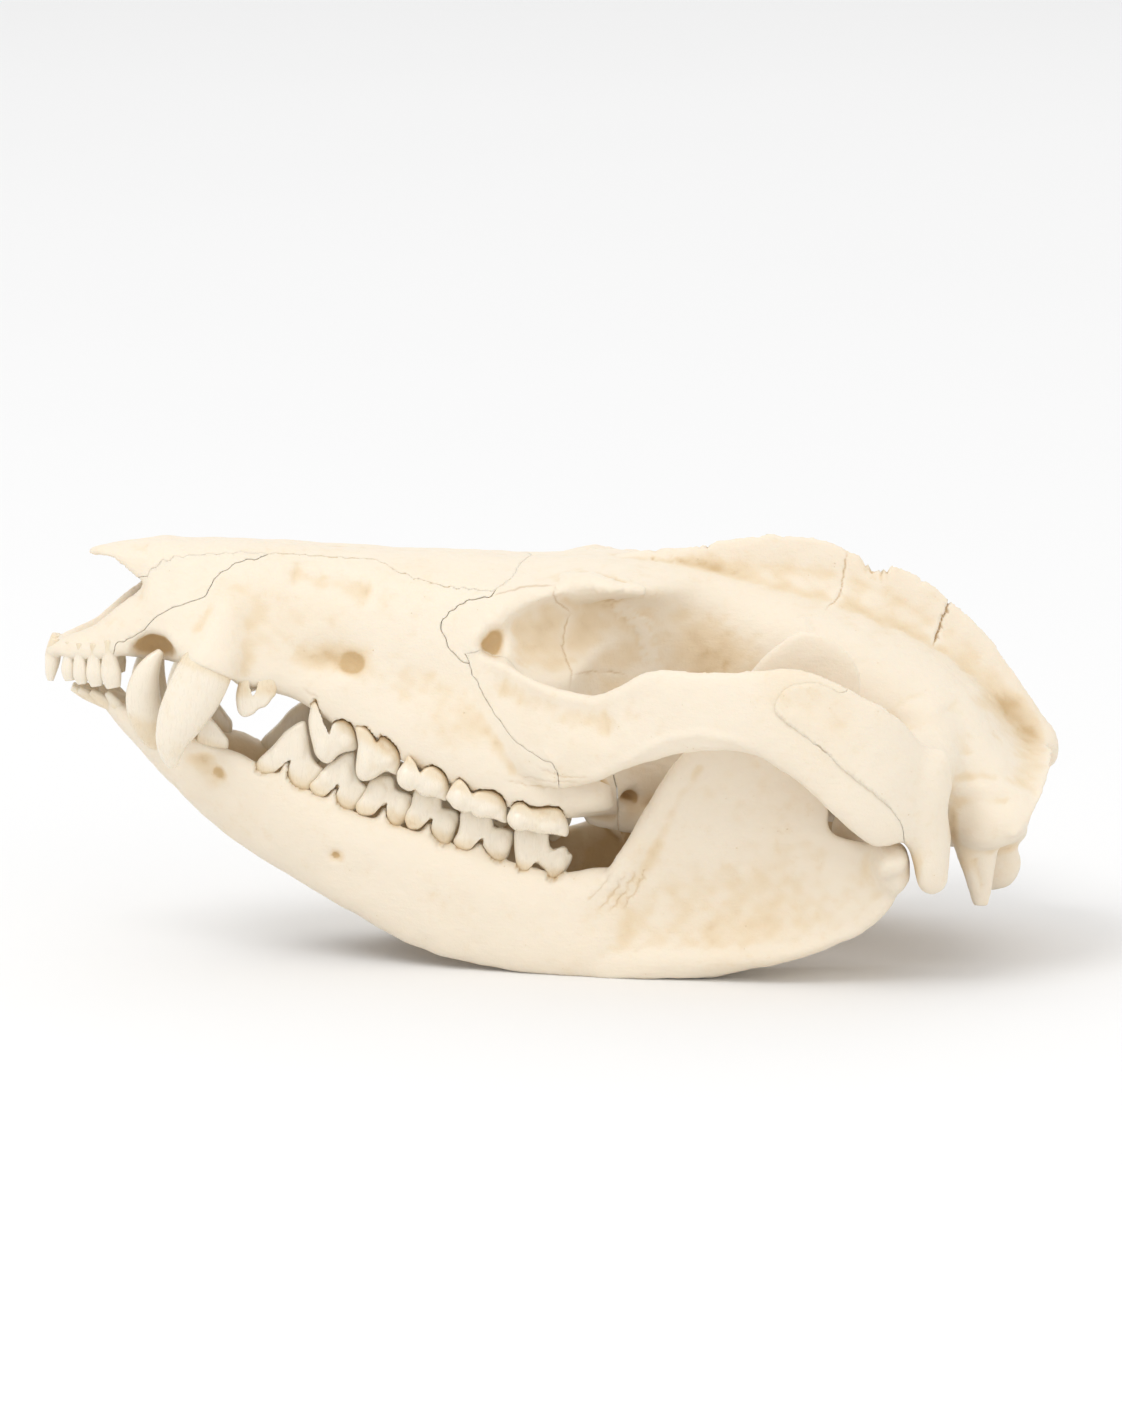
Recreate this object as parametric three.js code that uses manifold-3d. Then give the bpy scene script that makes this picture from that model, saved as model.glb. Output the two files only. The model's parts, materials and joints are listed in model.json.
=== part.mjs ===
// Virginia opossum skull, life size, resting on its lower jaws with the mouth closed.
// Millimetres, +Z up, snout towards -X, the animal's left side towards -Y.
import * as THREE from "three";
import { mergeVertices } from "three/addons/utils/BufferGeometryUtils.js";
import Module from "manifold-3d";

const wasm = await Module();
wasm.setup();

// Driving dimensions. Every table below belongs to a skull of TABLE_LENGTH and is scaled to SKULL_LENGTH.
const SKULL_LENGTH = 127;
const TABLE_LENGTH = 127;
const SCALE = SKULL_LENGTH / TABLE_LENGTH;
const GAP = 0.3; // between bones that touch
const CENTRE_SHIFT = 0.2; // puts the middle of the length over the origin
const VIEW_TILT = THREE.MathUtils.degToRad(10); // the side view looks down by this much
const VIEW_DISTANCE = 1000;
const VIEW_CENTRE = 34.6; // height in the side view that the eye is level with
const JAW_REST_OFFSET = 17; // how far off the midline the jaw meets the floor

const BONE = { color: 0xefe3c8, roughness: 0.62, metalness: 0 };
const TOOTHED_BONE = { color: 0xf3ead6, roughness: 0.5, metalness: 0 };

// A point of the side view, x along and v up, as the true point that lies w off the midline.
function seen(x, v, w, side = -1) {
  const near = 1 - w / VIEW_DISTANCE;
  const rise = (VIEW_CENTRE * w) / VIEW_DISTANCE;
  const restRise = (VIEW_CENTRE * JAW_REST_OFFSET) / VIEW_DISTANCE;
  const up = rise + v * near - restRise;
  const z = (up + (w - JAW_REST_OFFSET) * Math.sin(VIEW_TILT)) / Math.cos(VIEW_TILT);
  return new THREE.Vector3(x * near + CENTRE_SHIFT, side * w, z).multiplyScalar(SCALE);
}

// Catmull-Rom between the rows of a table of equal rows, at t from 0 to 1.
function between(rows, t) {
  const last = rows.length - 1;
  const at = Math.min(Math.max(t, 0), 1) * last;
  const i = Math.min(Math.floor(at), last - 1);
  const f = at - i;
  const row = (k) => rows[Math.min(Math.max(k, 0), last)];
  const [a, b, c, d] = [row(i - 1), row(i), row(i + 1), row(i + 2)];
  return b.map((value, k) => {
    const m0 = (c[k] - a[k]) / 2;
    const m1 = (d[k] - b[k]) / 2;
    const f2 = f * f;
    const f3 = f2 * f;
    const start = (2 * f3 - 3 * f2 + 1) * value + (f3 - 2 * f2 + f) * m0;
    return start + (3 * f2 - 2 * f3) * c[k] + (f3 - f2) * m1;
  });
}

// A geometry as a solid, with its faces turned outwards.
function solid(geometry) {
  const bare = geometry.index ? geometry.toNonIndexed() : geometry.clone();
  bare.deleteAttribute("normal");
  bare.deleteAttribute("uv");
  const merged = mergeVertices(bare, 1e-4);
  const build = (turned) => {
    const triVerts = new Uint32Array(merged.index.array);
    for (let i = 0; turned && i < triVerts.length; i += 3) {
      [triVerts[i + 1], triVerts[i + 2]] = [triVerts[i + 2], triVerts[i + 1]];
    }
    const vertProperties = merged.getAttribute("position").array;
    return new wasm.Manifold(new wasm.Mesh({ numProp: 3, vertProperties, triVerts }));
  };
  const made = build(false);
  return made.volume() < 0 ? build(true) : made;
}

const join = (parts) => parts.reduce((whole, part) => whole.add(part));
const cut = (whole, tools) => tools.reduce((rest, tool) => rest.subtract(tool), whole);
const largest = (whole) => whole.decompose().reduce((a, b) => (b.volume() > a.volume() ? b : a));

// A closed body: a capped cylinder whose rings are moved to wall(t, angle).
function swept(steps, sides, wall) {
  const geometry = new THREE.CylinderGeometry(1, 1, 1, sides, steps);
  const position = geometry.getAttribute("position");
  const middles = new Map();
  const middle = (t) => {
    if (!middles.has(t)) {
      const sum = new THREE.Vector3();
      for (let k = 0; k < sides; k++) sum.add(wall(t, (2 * Math.PI * k) / sides));
      middles.set(t, sum.divideScalar(sides));
    }
    return middles.get(t);
  };
  for (let i = 0; i < position.count; i++) {
    const t = Math.round((position.getY(i) + 0.5) * steps) / steps;
    const radius = Math.hypot(position.getX(i), position.getZ(i));
    const turn = Math.atan2(position.getX(i), position.getZ(i));
    const step = ((Math.round((turn * sides) / (2 * Math.PI)) % sides) + sides) % sides;
    const point = radius < 0.5 ? middle(t) : wall(t, (2 * Math.PI * step) / sides);
    position.setXYZ(i, point.x, point.y, point.z);
  }
  return solid(geometry);
}

// A flat bone: each row is [x low, v low, w low, x high, v high, w high, thick low, thick high, bow].
// bow moves its middle towards the midline.
function ribbon(rows, steps, sides, side = -1, square = 0.75) {
  const power = (value) => Math.sign(value) * Math.abs(value) ** square;
  return swept(steps, sides, (t, angle) => {
    const [x0, v0, w0, x1, v1, w1, thick0, thick1, bow] = between(rows, t);
    const h = (1 + power(Math.cos(angle))) / 2;
    const mix = (a, b) => a + (b - a) * h;
    const off = (power(Math.sin(angle)) * mix(thick0, thick1)) / 2;
    const w = mix(w0, w1) - bow * Math.sin(Math.PI * h) + off;
    return seen(mix(x0, x1), mix(v0, v1), w, side);
  });
}

// A tapered rod along rows of [x, v, w, half breadth in the side view, half breadth across it].
function rod(rows, steps, sides, side = -1) {
  return swept(steps, sides, (t, angle) => {
    const [x, v, w, a, b] = between(rows, t);
    const ahead = between(rows, t + 0.02);
    const behind = between(rows, t - 0.02);
    const along = new THREE.Vector2(ahead[0] - behind[0], ahead[1] - behind[1]).normalize();
    const off = a * Math.cos(angle);
    return seen(x - along.y * off, v + along.x * off, w + b * Math.sin(angle), side);
  });
}

// A round root that runs sideways: rows of [x, v, w, half length, half height].
function crossbar(rows, steps, sides, side = -1) {
  return swept(steps, sides, (t, angle) => {
    const [x, v, w, a, b] = between(rows, t);
    return seen(x + a * Math.cos(angle), v + b * Math.sin(angle), w, side);
  });
}

// An ellipsoid at a side-view place [x, v, w], with its half sizes along x, y and z, turned in the side view.
function bulb({ at, radii, turn = 0, facets = [10, 7] }, side = -1, grown = 0) {
  const geometry = new THREE.SphereGeometry(1, ...facets);
  geometry.scale(...radii.map((radius) => (radius + grown) * SCALE));
  geometry.rotateY(turn);
  const { x, y, z } = seen(...at, side);
  return solid(geometry.translate(x, y, z));
}

// A box between two true corners.
function block([x0, y0, z0], [x1, y1, z1]) {
  const geometry = new THREE.BoxGeometry(x1 - x0, y1 - y0, z1 - z0);
  return solid(geometry.translate((x0 + x1) / 2, (y0 + y1) / 2, (z0 + z1) / 2));
}

// A thin wall that parts two bones along a side-view line of [x, v], between two offsets from the line.
function sutureWall(line, w, from, to, side = -1, [less, more] = [-GAP / 2, GAP / 2]) {
  const points = line.map(([x, v]) => seen(x, v, w, side)).map((p) => new THREE.Vector2(p.x, p.z));
  const across = points.map((p, i) => {
    const a = points[Math.max(i - 1, 0)];
    const b = points[Math.min(i + 1, points.length - 1)];
    const run = new THREE.Vector2().subVectors(b, a).normalize();
    return new THREE.Vector2(-run.y, run.x);
  });
  const upper = points.map((p, i) => p.clone().addScaledVector(across[i], more));
  const lower = points.map((p, i) => p.clone().addScaledVector(across[i], less)).reverse();
  return standing([...upper, ...lower], from, to, side);
}

// A side-view outline made solid between two distances off the midline.
function standing(points, from, to, side = -1) {
  const geometry = new THREE.ExtrudeGeometry(new THREE.Shape(points), {
    depth: (to - from) * SCALE,
    bevelEnabled: false,
  });
  geometry.rotateX(Math.PI / 2);
  return solid(geometry.translate(0, (side < 0 ? -from : to) * SCALE, 0));
}

// Snout, face and brain case as one body, before the orbits are hollowed.
// Rows: x, top v, then w and v of the roof edge, upper cheek, lower cheek and tooth margin, then palate v.
const CORE = [
  [-63.2, 41.4, 1.3, 41.4, 2.3, 41.3, 2.6, 41.0, 2.2, 40.6, 41.0],
  [-61.5, 42.7, 2.4, 42.5, 3.5, 42.0, 4.1, 41.1, 3.8, 40.1, 41.1],
  [-57.6, 44.7, 3.2, 44.2, 4.9, 43.1, 5.8, 41.4, 5.4, 39.8, 40.7],
  [-54.6, 47.3, 3.4, 46.7, 5.4, 45.1, 6.5, 42.6, 6.2, 40.3, 40.6],
  [-51.4, 50.1, 3.5, 49.6, 6.1, 46.9, 7.2, 43.6, 6.4, 40.2, 40.4],
  [-50.4, 54.6, 3.9, 53.4, 6.3, 48.6, 7.5, 44.0, 6.8, 40.1, 40.3],
  [-46.0, 54.7, 4.4, 53.3, 7.1, 49.2, 9.6, 44.0, 10.3, 39.7, 39.4],
  [-42.0, 54.7, 4.7, 53.2, 7.6, 49.2, 10.2, 43.6, 10.6, 39.2, 38.4],
  [-39.4, 54.6, 4.9, 53.1, 7.8, 49.0, 9.8, 42.8, 9.8, 36.6, 37.2],
  [-33.0, 54.3, 5.0, 52.8, 8.2, 48.7, 9.6, 42.0, 9.3, 35.4, 35.8],
  [-27.0, 53.9, 5.6, 52.2, 8.8, 48.2, 10.6, 41.0, 10.4, 31.6, 33.2],
  [-20.0, 53.5, 6.6, 51.4, 9.9, 47.4, 12.0, 40.0, 12.8, 27.8, 30.0],
  [-13.0, 53.1, 8.2, 50.4, 11.9, 46.6, 14.4, 38.0, 15.4, 24.5, 27.0],
  [-6.0, 52.8, 10.0, 49.6, 13.6, 46.0, 16.0, 36.0, 17.4, 21.8, 24.4],
  [0.5, 52.7, 11.0, 49.1, 12.4, 46.2, 14.4, 35.0, 17.8, 20.4, 22.6],
  [6.0, 52.7, 11.6, 48.8, 9.2, 45.6, 8.8, 35.0, 12.6, 21.0, 21.8],
  [12.0, 52.3, 9.8, 48.8, 8.0, 45.0, 7.6, 35.0, 7.6, 22.2, 21.2],
  [18.0, 51.6, 5.4, 49.4, 7.0, 44.6, 7.4, 35.0, 7.8, 23.0, 20.8],
  [24.0, 50.0, 4.4, 48.6, 8.4, 43.8, 10.0, 35.6, 9.0, 24.0, 20.4],
  [30.0, 48.6, 4.4, 47.4, 10.4, 42.8, 12.8, 35.0, 11.0, 23.6, 20.0],
  [36.0, 47.0, 4.8, 45.8, 11.8, 41.2, 14.6, 34.0, 13.0, 22.6, 19.4],
  [42.0, 44.6, 5.0, 43.4, 12.2, 39.2, 15.6, 32.2, 14.8, 21.6, 18.6],
  [47.0, 42.0, 5.4, 40.8, 12.4, 36.6, 16.2, 30.0, 16.0, 20.8, 17.0],
  [52.0, 38.0, 5.6, 36.8, 12.2, 33.0, 16.4, 27.0, 16.8, 19.4, 15.8],
  [56.4, 33.0, 5.4, 32.2, 11.4, 29.2, 16.0, 24.6, 16.2, 19.0, 15.4],
  [59.2, 29.6, 4.8, 29.0, 9.8, 26.8, 13.8, 23.0, 13.0, 19.2, 17.4],
];

function core() {
  const steps = 42;
  const sides = 20;
  return swept(steps, sides, (t, angle) => {
    const [x, top, ...rest] = between(CORE, t);
    const palate = rest.pop();
    const half = [[0, top]];
    for (let k = 0; k < rest.length; k += 2) half.push([rest[k], rest[k + 1]]);
    half.push([0, palate]);
    const mirrored = ([w, v]) => [-w, v];
    const rim = [mirrored(half[1]), ...half, mirrored(half[half.length - 2])];
    const turned = angle > Math.PI ? 2 * Math.PI - angle : angle;
    const [w, v] = between(rim, (1 + (turned / Math.PI) * (half.length - 1)) / (rim.length - 1));
    return seen(x, v, Math.abs(w), angle > Math.PI ? 1 : -1);
  });
}

// The midline blade over the brain case, from the brow to its join with the nape crest.
const CREST = [
  [8.0, 50.0, 0, 8.0, 53.3, 0, 5.0, 3.2, 0],
  [15.0, 47.0, 0, 15.0, 53.8, 0, 5.0, 2.0, 0],
  [21.0, 45.0, 0, 21.2, 54.9, 0, 4.6, 1.4, 0],
  [26.5, 43.5, 0, 27.4, 55.5, 0, 4.4, 1.3, 0],
  [32.0, 42.0, 0, 33.6, 54.8, 0, 4.4, 1.3, 0],
  [36.5, 40.5, 0, 38.2, 52.8, 0, 4.4, 1.3, 0],
  [41.0, 38.5, 0, 44.5, 50.8, 0, 4.4, 1.3, 0],
  [45.0, 36.0, 0, 49.2, 47.4, 0, 4.4, 1.3, 0],
  [49.0, 33.0, 0, 55.4, 41.4, 0, 4.4, 1.4, 0],
  [52.5, 29.5, 0, 61.0, 33.5, 0, 4.6, 1.7, 0],
  [54.5, 26.0, 0, 63.3, 29.5, 0, 4.6, 2.2, 0],
  [54.5, 22.5, 0, 62.8, 26.6, 0, 4.6, 2.2, 0],
];

// The nape crest flares from the midline to the mastoid; low is its root and high its rim.
const NAPE = [
  [55.5, 29.0, -1.1, 63.1, 29.9, -1.1, 4.0, 1.8, 0],
  [55.0, 28.4, 3.0, 63.3, 28.4, 5.0, 4.0, 1.6, 0],
  [54.4, 27.2, 6.5, 63.0, 26.2, 10.0, 4.0, 1.5, 0],
  [53.8, 25.4, 9.5, 61.8, 23.2, 14.6, 4.2, 1.5, 0],
  [53.4, 23.0, 11.5, 59.8, 19.8, 18.2, 4.6, 1.6, 0],
  [53.2, 20.6, 12.6, 57.6, 17.2, 19.8, 5.0, 2.2, 0],
];

// Cheek arch, from its root on the face to the back of the cheek.
const ARCH = [
  [-19.0, 31.0, 9.6, -19.0, 39.6, 9.2, 3.2, 2.6, 0],
  [-12.6, 30.6, 12.8, -12.6, 40.4, 12.2, 3.6, 3.0, 0],
  [-6.9, 27.0, 16.0, -6.9, 39.6, 15.4, 4.8, 3.6, 0],
  [-1.3, 24.2, 20.0, -1.3, 36.9, 20.2, 5.0, 3.4, 0],
  [5.6, 24.9, 23.9, 5.6, 35.6, 23.9, 4.4, 2.8, 0],
  [11.8, 27.0, 26.7, 11.8, 38.5, 26.6, 3.8, 2.3, 0],
  [18.0, 28.3, 29.0, 18.0, 38.2, 29.0, 3.8, 2.1, 0],
  [24.3, 27.9, 30.6, 24.3, 38.4, 30.4, 3.8, 2.1, 0],
  [30.2, 24.5, 31.6, 30.8, 38.7, 31.2, 3.8, 2.3, 0],
  [35.0, 20.2, 31.6, 37.4, 35.9, 31.0, 4.0, 2.5, 0],
  [39.6, 16.5, 30.4, 42.0, 33.3, 29.6, 4.4, 3.0, 0],
  [43.2, 16.6, 28.4, 45.8, 30.0, 26.6, 5.0, 3.8, 0],
  [44.2, 16.8, 26.4, 48.6, 24.8, 23.6, 6.4, 5.2, 0],
  [44.6, 13.8, 25.6, 49.7, 18.0, 23.4, 7.4, 6.8, 0],
  [45.8, 10.3, 25.4, 49.2, 11.8, 24.2, 6.0, 6.0, 0],
];

const ARCH_ROOT = [
  [44.4, 24.6, 28.4, 4.0, 4.6],
  [44.2, 25.6, 23.4, 4.9, 4.0],
  [44.5, 26.6, 19.4, 6.2, 4.0],
  [45.0, 27.6, 15.6, 6.6, 3.8],
  [44.6, 28.4, 10.0, 8.0, 4.0],
];

const PAROCCIPITAL = [
  [52.6, 19.0, 15.0, 3.6, 3.0],
  [53.0, 14.4, 14.4, 2.4, 1.9],
  [53.3, 10.6, 14.0, 1.6, 1.4],
  [53.3, 8.6, 13.8, 1.1, 1.1],
];

const POSTORBITAL = [
  [2.0, 48.2, 8.6, 1.1, 3.2],
  [6.6, 48.1, 11.4, 1.1, 2.8],
  [10.2, 48.0, 13.0, 1.0, 1.7],
  [11.6, 47.9, 13.6, 0.7, 1.0],
];

const PTERYGOID = [
  [4.0, 21.4, 9.0, 2.2, 1.6],
  [9.0, 20.2, 7.6, 2.2, 1.1],
  [15.0, 19.6, 6.8, 1.8, 1.0],
  [21.0, 19.6, 6.4, 1.4, 1.0],
];

// Nose roof: half widths and the underside of the thin nasals that overhang the nostrils.
const NASAL_ROOF = [
  [-58.2, 53.1, 0, 0.7, 0.35],
  [-56.4, 53.5, 0, 2.0, 0.55],
  [-53.6, 53.9, 0, 3.2, 0.65],
  [-50.6, 54.1, 0, 4.1, 0.8],
  [-47.0, 54.0, 0, 4.2, 0.8],
];

function nasalRoof() {
  const droop = 1.9; // how far the roof's edges hang below its ridge
  return swept(8, 12, (t, angle) => {
    const [x, v, , half, thick] = between(NASAL_ROOF, t);
    const w = half * Math.sin(angle);
    const sag = droop * (w / NASAL_ROOF.at(-1)[3]) ** 2;
    return seen(x, v - sag + thick * Math.cos(angle), Math.abs(w), w > 0 ? -1 : 1);
  });
}

const NOSTRIL = [
  [-66.0, 46.6, 0, 2.6, 4.2],
  [-58.0, 47.2, 0, 3.4, 4.6],
  [-52.0, 48.2, 0, 3.8, 4.9],
  [-46.0, 48.4, 0, 4.0, 4.4],
  [-40.0, 48.0, 0, 3.0, 3.2],
];

function nostril() {
  return swept(7, 12, (t, angle) => {
    const [x, v, , half, tall] = between(NOSTRIL, t);
    const w = half * Math.sin(angle);
    return seen(x, v + tall * Math.cos(angle), Math.abs(w), w > 0 ? -1 : 1);
  });
}

// Hollows, each an ellipsoid.
const ORBIT = { at: [9.4, 41.2, 21.4], radii: [18.9, 13.4, 8.6], turn: 0.06, facets: [18, 12] };
const CANINE_NOTCH = { at: [-50.4, 40.9, 9.0], radii: [3.7, 4.0, 2.5], turn: -0.3 };
const INFRAORBITAL_HOLE = { at: [-24.6, 39.3, 12.6], radii: [1.5, 2.4, 0.9], turn: 0.5, facets: [8, 6] };
const MENTAL_HOLE = { at: [-43.0, 25.6, 9.8], radii: [1.6, 1.6, 1.0], turn: 0.2, facets: [8, 6] };
const FORAMEN_MAGNUM = { at: [60.4, 18.8, 0], radii: [6.0, 4.4, 4.0] };

// Swellings, each an ellipsoid sunk in the brain case.
const OCCIPITAL_CONDYLE = { at: [53.9, 14.4, 5.4], radii: [4.0, 3.0, 4.2], turn: 0.2 };
const MASTOID = { at: [53.4, 20.8, 15.2], radii: [5.8, 3.6, 4.6], turn: 0.3, facets: [14, 10] };
const TEMPLE_BOSS = { at: [46.6, 30.2, 13.2], radii: [5.4, 3.2, 4.8], turn: 0.3, facets: [14, 10] };
const EAR_BULLA = { at: [38.0, 18.8, 11.0], radii: [3.4, 2.6, 3.0] };

const CROWN_SIDES = 11;

// Front teeth lean from root to tip in the side view.
const UPPER_INCISORS = [
  { root: [-62.6, 42.2], tip: [-63.1, 37.3], w: 1.5, thick: 0.85 },
  { root: [-60.6, 41.6], tip: [-60.4, 37.4], w: 3.3, thick: 0.75 },
  { root: [-59.3, 41.4], tip: [-58.9, 36.9], w: 4.2, thick: 0.8 },
  { root: [-57.4, 41.4], tip: [-57.0, 36.6], w: 4.9, thick: 0.9 },
  { root: [-55.2, 42.0], tip: [-54.8, 36.5], w: 5.5, thick: 1.0 },
];

const LOWER_INCISORS = [
  { root: [-56.6, 34.6], tip: [-60.5, 36.2], w: 1.0, thick: 0.6 },
  { root: [-55.8, 34.2], tip: [-59.6, 36.0], w: 2.0, thick: 0.6 },
  { root: [-54.8, 33.6], tip: [-58.0, 35.7], w: 2.9, thick: 0.65 },
  { root: [-53.6, 32.8], tip: [-56.0, 35.6], w: 3.6, thick: 0.65 },
];

const UPPER_CANINE = [
  [-42.0, 42.5, 10.0, 2.8, 2.0],
  [-43.6, 38.4, 10.9, 3.5, 2.4],
  [-45.4, 34.9, 11.4, 3.4, 2.2],
  [-47.0, 31.6, 11.5, 2.7, 1.9],
  [-47.9, 28.8, 11.4, 1.6, 1.3],
  [-48.0, 26.5, 11.3, 0.6, 0.6],
];

const LOWER_CANINE = [
  [-49.4, 27.6, 5.2, 2.0, 1.6],
  [-50.8, 31.6, 5.9, 2.2, 1.7],
  [-51.4, 35.4, 6.6, 2.2, 1.6],
  [-50.6, 38.8, 7.0, 1.4, 1.1],
  [-49.3, 40.9, 7.1, 0.5, 0.5],
];

// Cheek teeth in the side view. gum holds the front and rear ends of the neck, crown the cusps between
// them, w the distance off the midline, half the half width and root how far the tooth is sunk.
const UPPER_CHEEK = [
  {
    gum: [[-39.7, 35.6], [-34.7, 35.8]],
    crown: [[-39.8, 34.1], [-38.9, 32.8], [-37.7, 33.1], [-36.1, 34.0]],
    w: 9.4, half: 0.9, root: 2.4,
  },
  {
    gum: [[-30.7, 34.9], [-25.3, 30.6]],
    crown: [[-30.8, 31.2], [-30.1, 28.4], [-28.6, 26.8], [-27.4, 27.3], [-26.4, 28.2], [-24.9, 28.5]],
    w: 9.8, half: 1.3, root: 2.6,
  },
  {
    gum: [[-24.8, 30.4], [-19.3, 27.5]],
    crown: [[-24.9, 26.8], [-24.6, 25.3], [-23.6, 24.8], [-22.4, 25.1], [-21.3, 25.8], [-19.9, 25.5]],
    w: 11.4, half: 1.4, root: 2.6,
  },
  {
    gum: [[-18.7, 27.0], [-13.3, 24.1]],
    crown: [[-19.7, 25.2], [-19.3, 24.0], [-17.9, 23.4], [-17.1, 23.2], [-15.4, 22.5], [-13.6, 21.9]],
    w: 14.0, half: 1.6, root: 2.2,
  },
  {
    gum: [[-12.6, 23.8], [-6.3, 21.6]],
    crown: [[-13.3, 22.6], [-12.8, 21.5], [-11.2, 20.8], [-10.2, 20.8], [-8.8, 20.0], [-6.3, 19.3]],
    w: 15.8, half: 1.7, root: 2.2,
  },
  {
    gum: [[-5.3, 21.3], [1.1, 20.0]],
    crown: [[-6.0, 20.0], [-5.4, 18.8], [-4.2, 18.4], [-2.9, 18.6], [-1.3, 18.0], [1.2, 17.7]],
    w: 17.0, half: 1.7, root: 2.2,
  },
];

const LOWER_CHEEK = [
  {
    gum: [[-44.0, 29.6], [-41.6, 28.9]],
    crown: [[-44.0, 30.8], [-43.4, 32.8], [-42.7, 31.6]],
    w: 6.4, half: 0.8, root: 2.0,
  },
  {
    gum: [[-37.4, 26.5], [-30.8, 23.9]],
    crown: [[-36.2, 27.9], [-33.8, 30.9], [-31.7, 32.1], [-30.9, 31.0], [-30.6, 27.0], [-29.1, 25.9]],
    w: 7.4, half: 1.2, root: 2.4,
  },
  {
    gum: [[-30.4, 23.8], [-25.2, 21.3]],
    crown: [[-28.4, 26.6], [-27.2, 27.5], [-25.9, 28.1], [-25.1, 27.2], [-24.8, 24.8], [-23.6, 23.6]],
    w: 8.2, half: 1.2, root: 2.4,
  },
  {
    gum: [[-24.8, 21.3], [-19.6, 19.3]],
    crown: [[-23.7, 23.1], [-22.9, 24.9], [-20.5, 25.0], [-19.7, 23.1], [-18.2, 22.7], [-18.1, 21.3]],
    w: 9.2, half: 1.5, root: 2.4,
  },
  {
    gum: [[-18.4, 20.4], [-13.3, 16.9]],
    crown: [[-17.7, 21.8], [-17.0, 23.9], [-14.7, 23.7], [-14.0, 21.1], [-12.3, 20.4], [-12.4, 18.6]],
    w: 10.6, half: 1.5, root: 2.4,
  },
  {
    gum: [[-12.3, 16.9], [-6.9, 14.9]],
    crown: [[-11.9, 18.5], [-11.2, 21.6], [-8.4, 21.4], [-7.7, 18.6], [-5.6, 18.1], [-5.6, 16.4]],
    w: 12.2, half: 1.5, root: 2.4,
  },
  {
    gum: [[-4.7, 14.1], [-0.6, 12.5]],
    crown: [[-5.2, 16.5], [-4.8, 18.8], [-1.1, 18.5], [-0.6, 16.1], [1.6, 16.0], [1.3, 13.8]],
    w: 13.4, half: 1.4, root: 2.4,
  },
];

function peg({ root, tip, w, thick }, side) {
  const [dx, dv] = [tip[0] - root[0], tip[1] - root[1]];
  const rows = [
    [0, 0.8],
    [0.35, 1],
    [0.75, 1.05],
    [1, 0.5],
  ].map(([f, k]) => [root[0] + dx * f, root[1] + dv * f, w, thick * k, thick * k]);
  return rod(rows, 3, 5, side);
}

// A cheek tooth is a cushion across the jaw, fullest in the middle of its width.
function cheekTooth({ gum, crown, w, half, root }, side) {
  const [front, rear] = gum;
  const run = new THREE.Vector2(rear[0] - front[0], rear[1] - front[1]).normalize();
  const upper = crown[1][1] < front[1];
  const sunk = ([x, v], inset) => {
    const sign = upper ? 1 : -1;
    return [x - sign * run.y * root + run.x * inset, v + sign * run.x * root + run.y * inset];
  };
  const outline = [front, ...crown, rear, sunk(rear, -0.8), sunk(front, 0.8)];
  const ring = [...outline, outline[0]];
  const [cx, cv] = [0, 1].map((k) => outline.reduce((sum, p) => sum + p[k], 0) / outline.length);
  const fullness = [[0.66], [1], [1], [0.66]];
  const steps = fullness.length - 1;
  return swept(steps, CROWN_SIDES, (t, angle) => {
    const [full] = between(fullness, t);
    const [x, v] = between(ring, angle / (2 * Math.PI));
    return seen(cx + (x - cx) * full, cv + (v - cv) * full, w + half * (2 * t - 1), side);
  });
}

function upperTeeth(side) {
  return [
    ...UPPER_INCISORS.map((tooth) => peg(tooth, side)),
    rod(UPPER_CANINE, 6, 8, side),
    ...UPPER_CHEEK.map((tooth) => cheekTooth(tooth, side)),
  ];
}

function lowerTeeth(side) {
  return [
    ...LOWER_INCISORS.map((tooth) => peg(tooth, side)),
    rod(LOWER_CANINE, 6, 8, side),
    ...LOWER_CHEEK.map((tooth) => cheekTooth(tooth, side)),
  ];
}

// Lower jaw: low row is the border that rests on the floor, high row the tooth margin.
const JAW_BODY = [
  [-57.6, 35.0, 1.6, -57.2, 36.2, 1.6, 1.6, 1.8, 0],
  [-55.4, 32.4, 2.3, -54.2, 34.6, 2.4, 4.0, 4.2, 0],
  [-51.7, 28.2, 3.0, -49.6, 31.6, 4.4, 5.4, 5.4, 0],
  [-48.2, 24.4, 3.2, -45.6, 30.2, 5.6, 5.8, 5.6, 0],
  [-43.4, 19.6, 3.6, -40.8, 28.6, 6.6, 5.8, 5.2, 0],
  [-38.2, 15.5, 4.2, -36.4, 26.4, 7.4, 5.6, 4.8, 0],
  [-32.9, 12.4, 5.6, -31.3, 23.6, 8.0, 5.6, 4.8, 0],
  [-26.9, 8.8, 7.8, -25.7, 21.0, 9.0, 5.4, 5.0, 0],
  [-19.4, 4.6, 10.2, -18.8, 18.8, 10.6, 5.0, 5.2, 0],
  [-13.2, 2.3, 12.2, -12.6, 16.6, 12.0, 4.8, 5.2, 0],
  [-5.7, 0.7, 14.2, -5.4, 14.4, 13.2, 4.8, 5.2, 0],
  [0.6, -0.05, 15.6, 0.6, 13.2, 14.4, 4.8, 5.0, 0],
  [5.6, -0.35, 16.6, 5.6, 13.8, 15.8, 4.4, 3.8, 0],
  [11.6, -0.3, 17.0, 11.0, 12.0, 16.4, 2.6, 2.0, 0],
];

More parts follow.
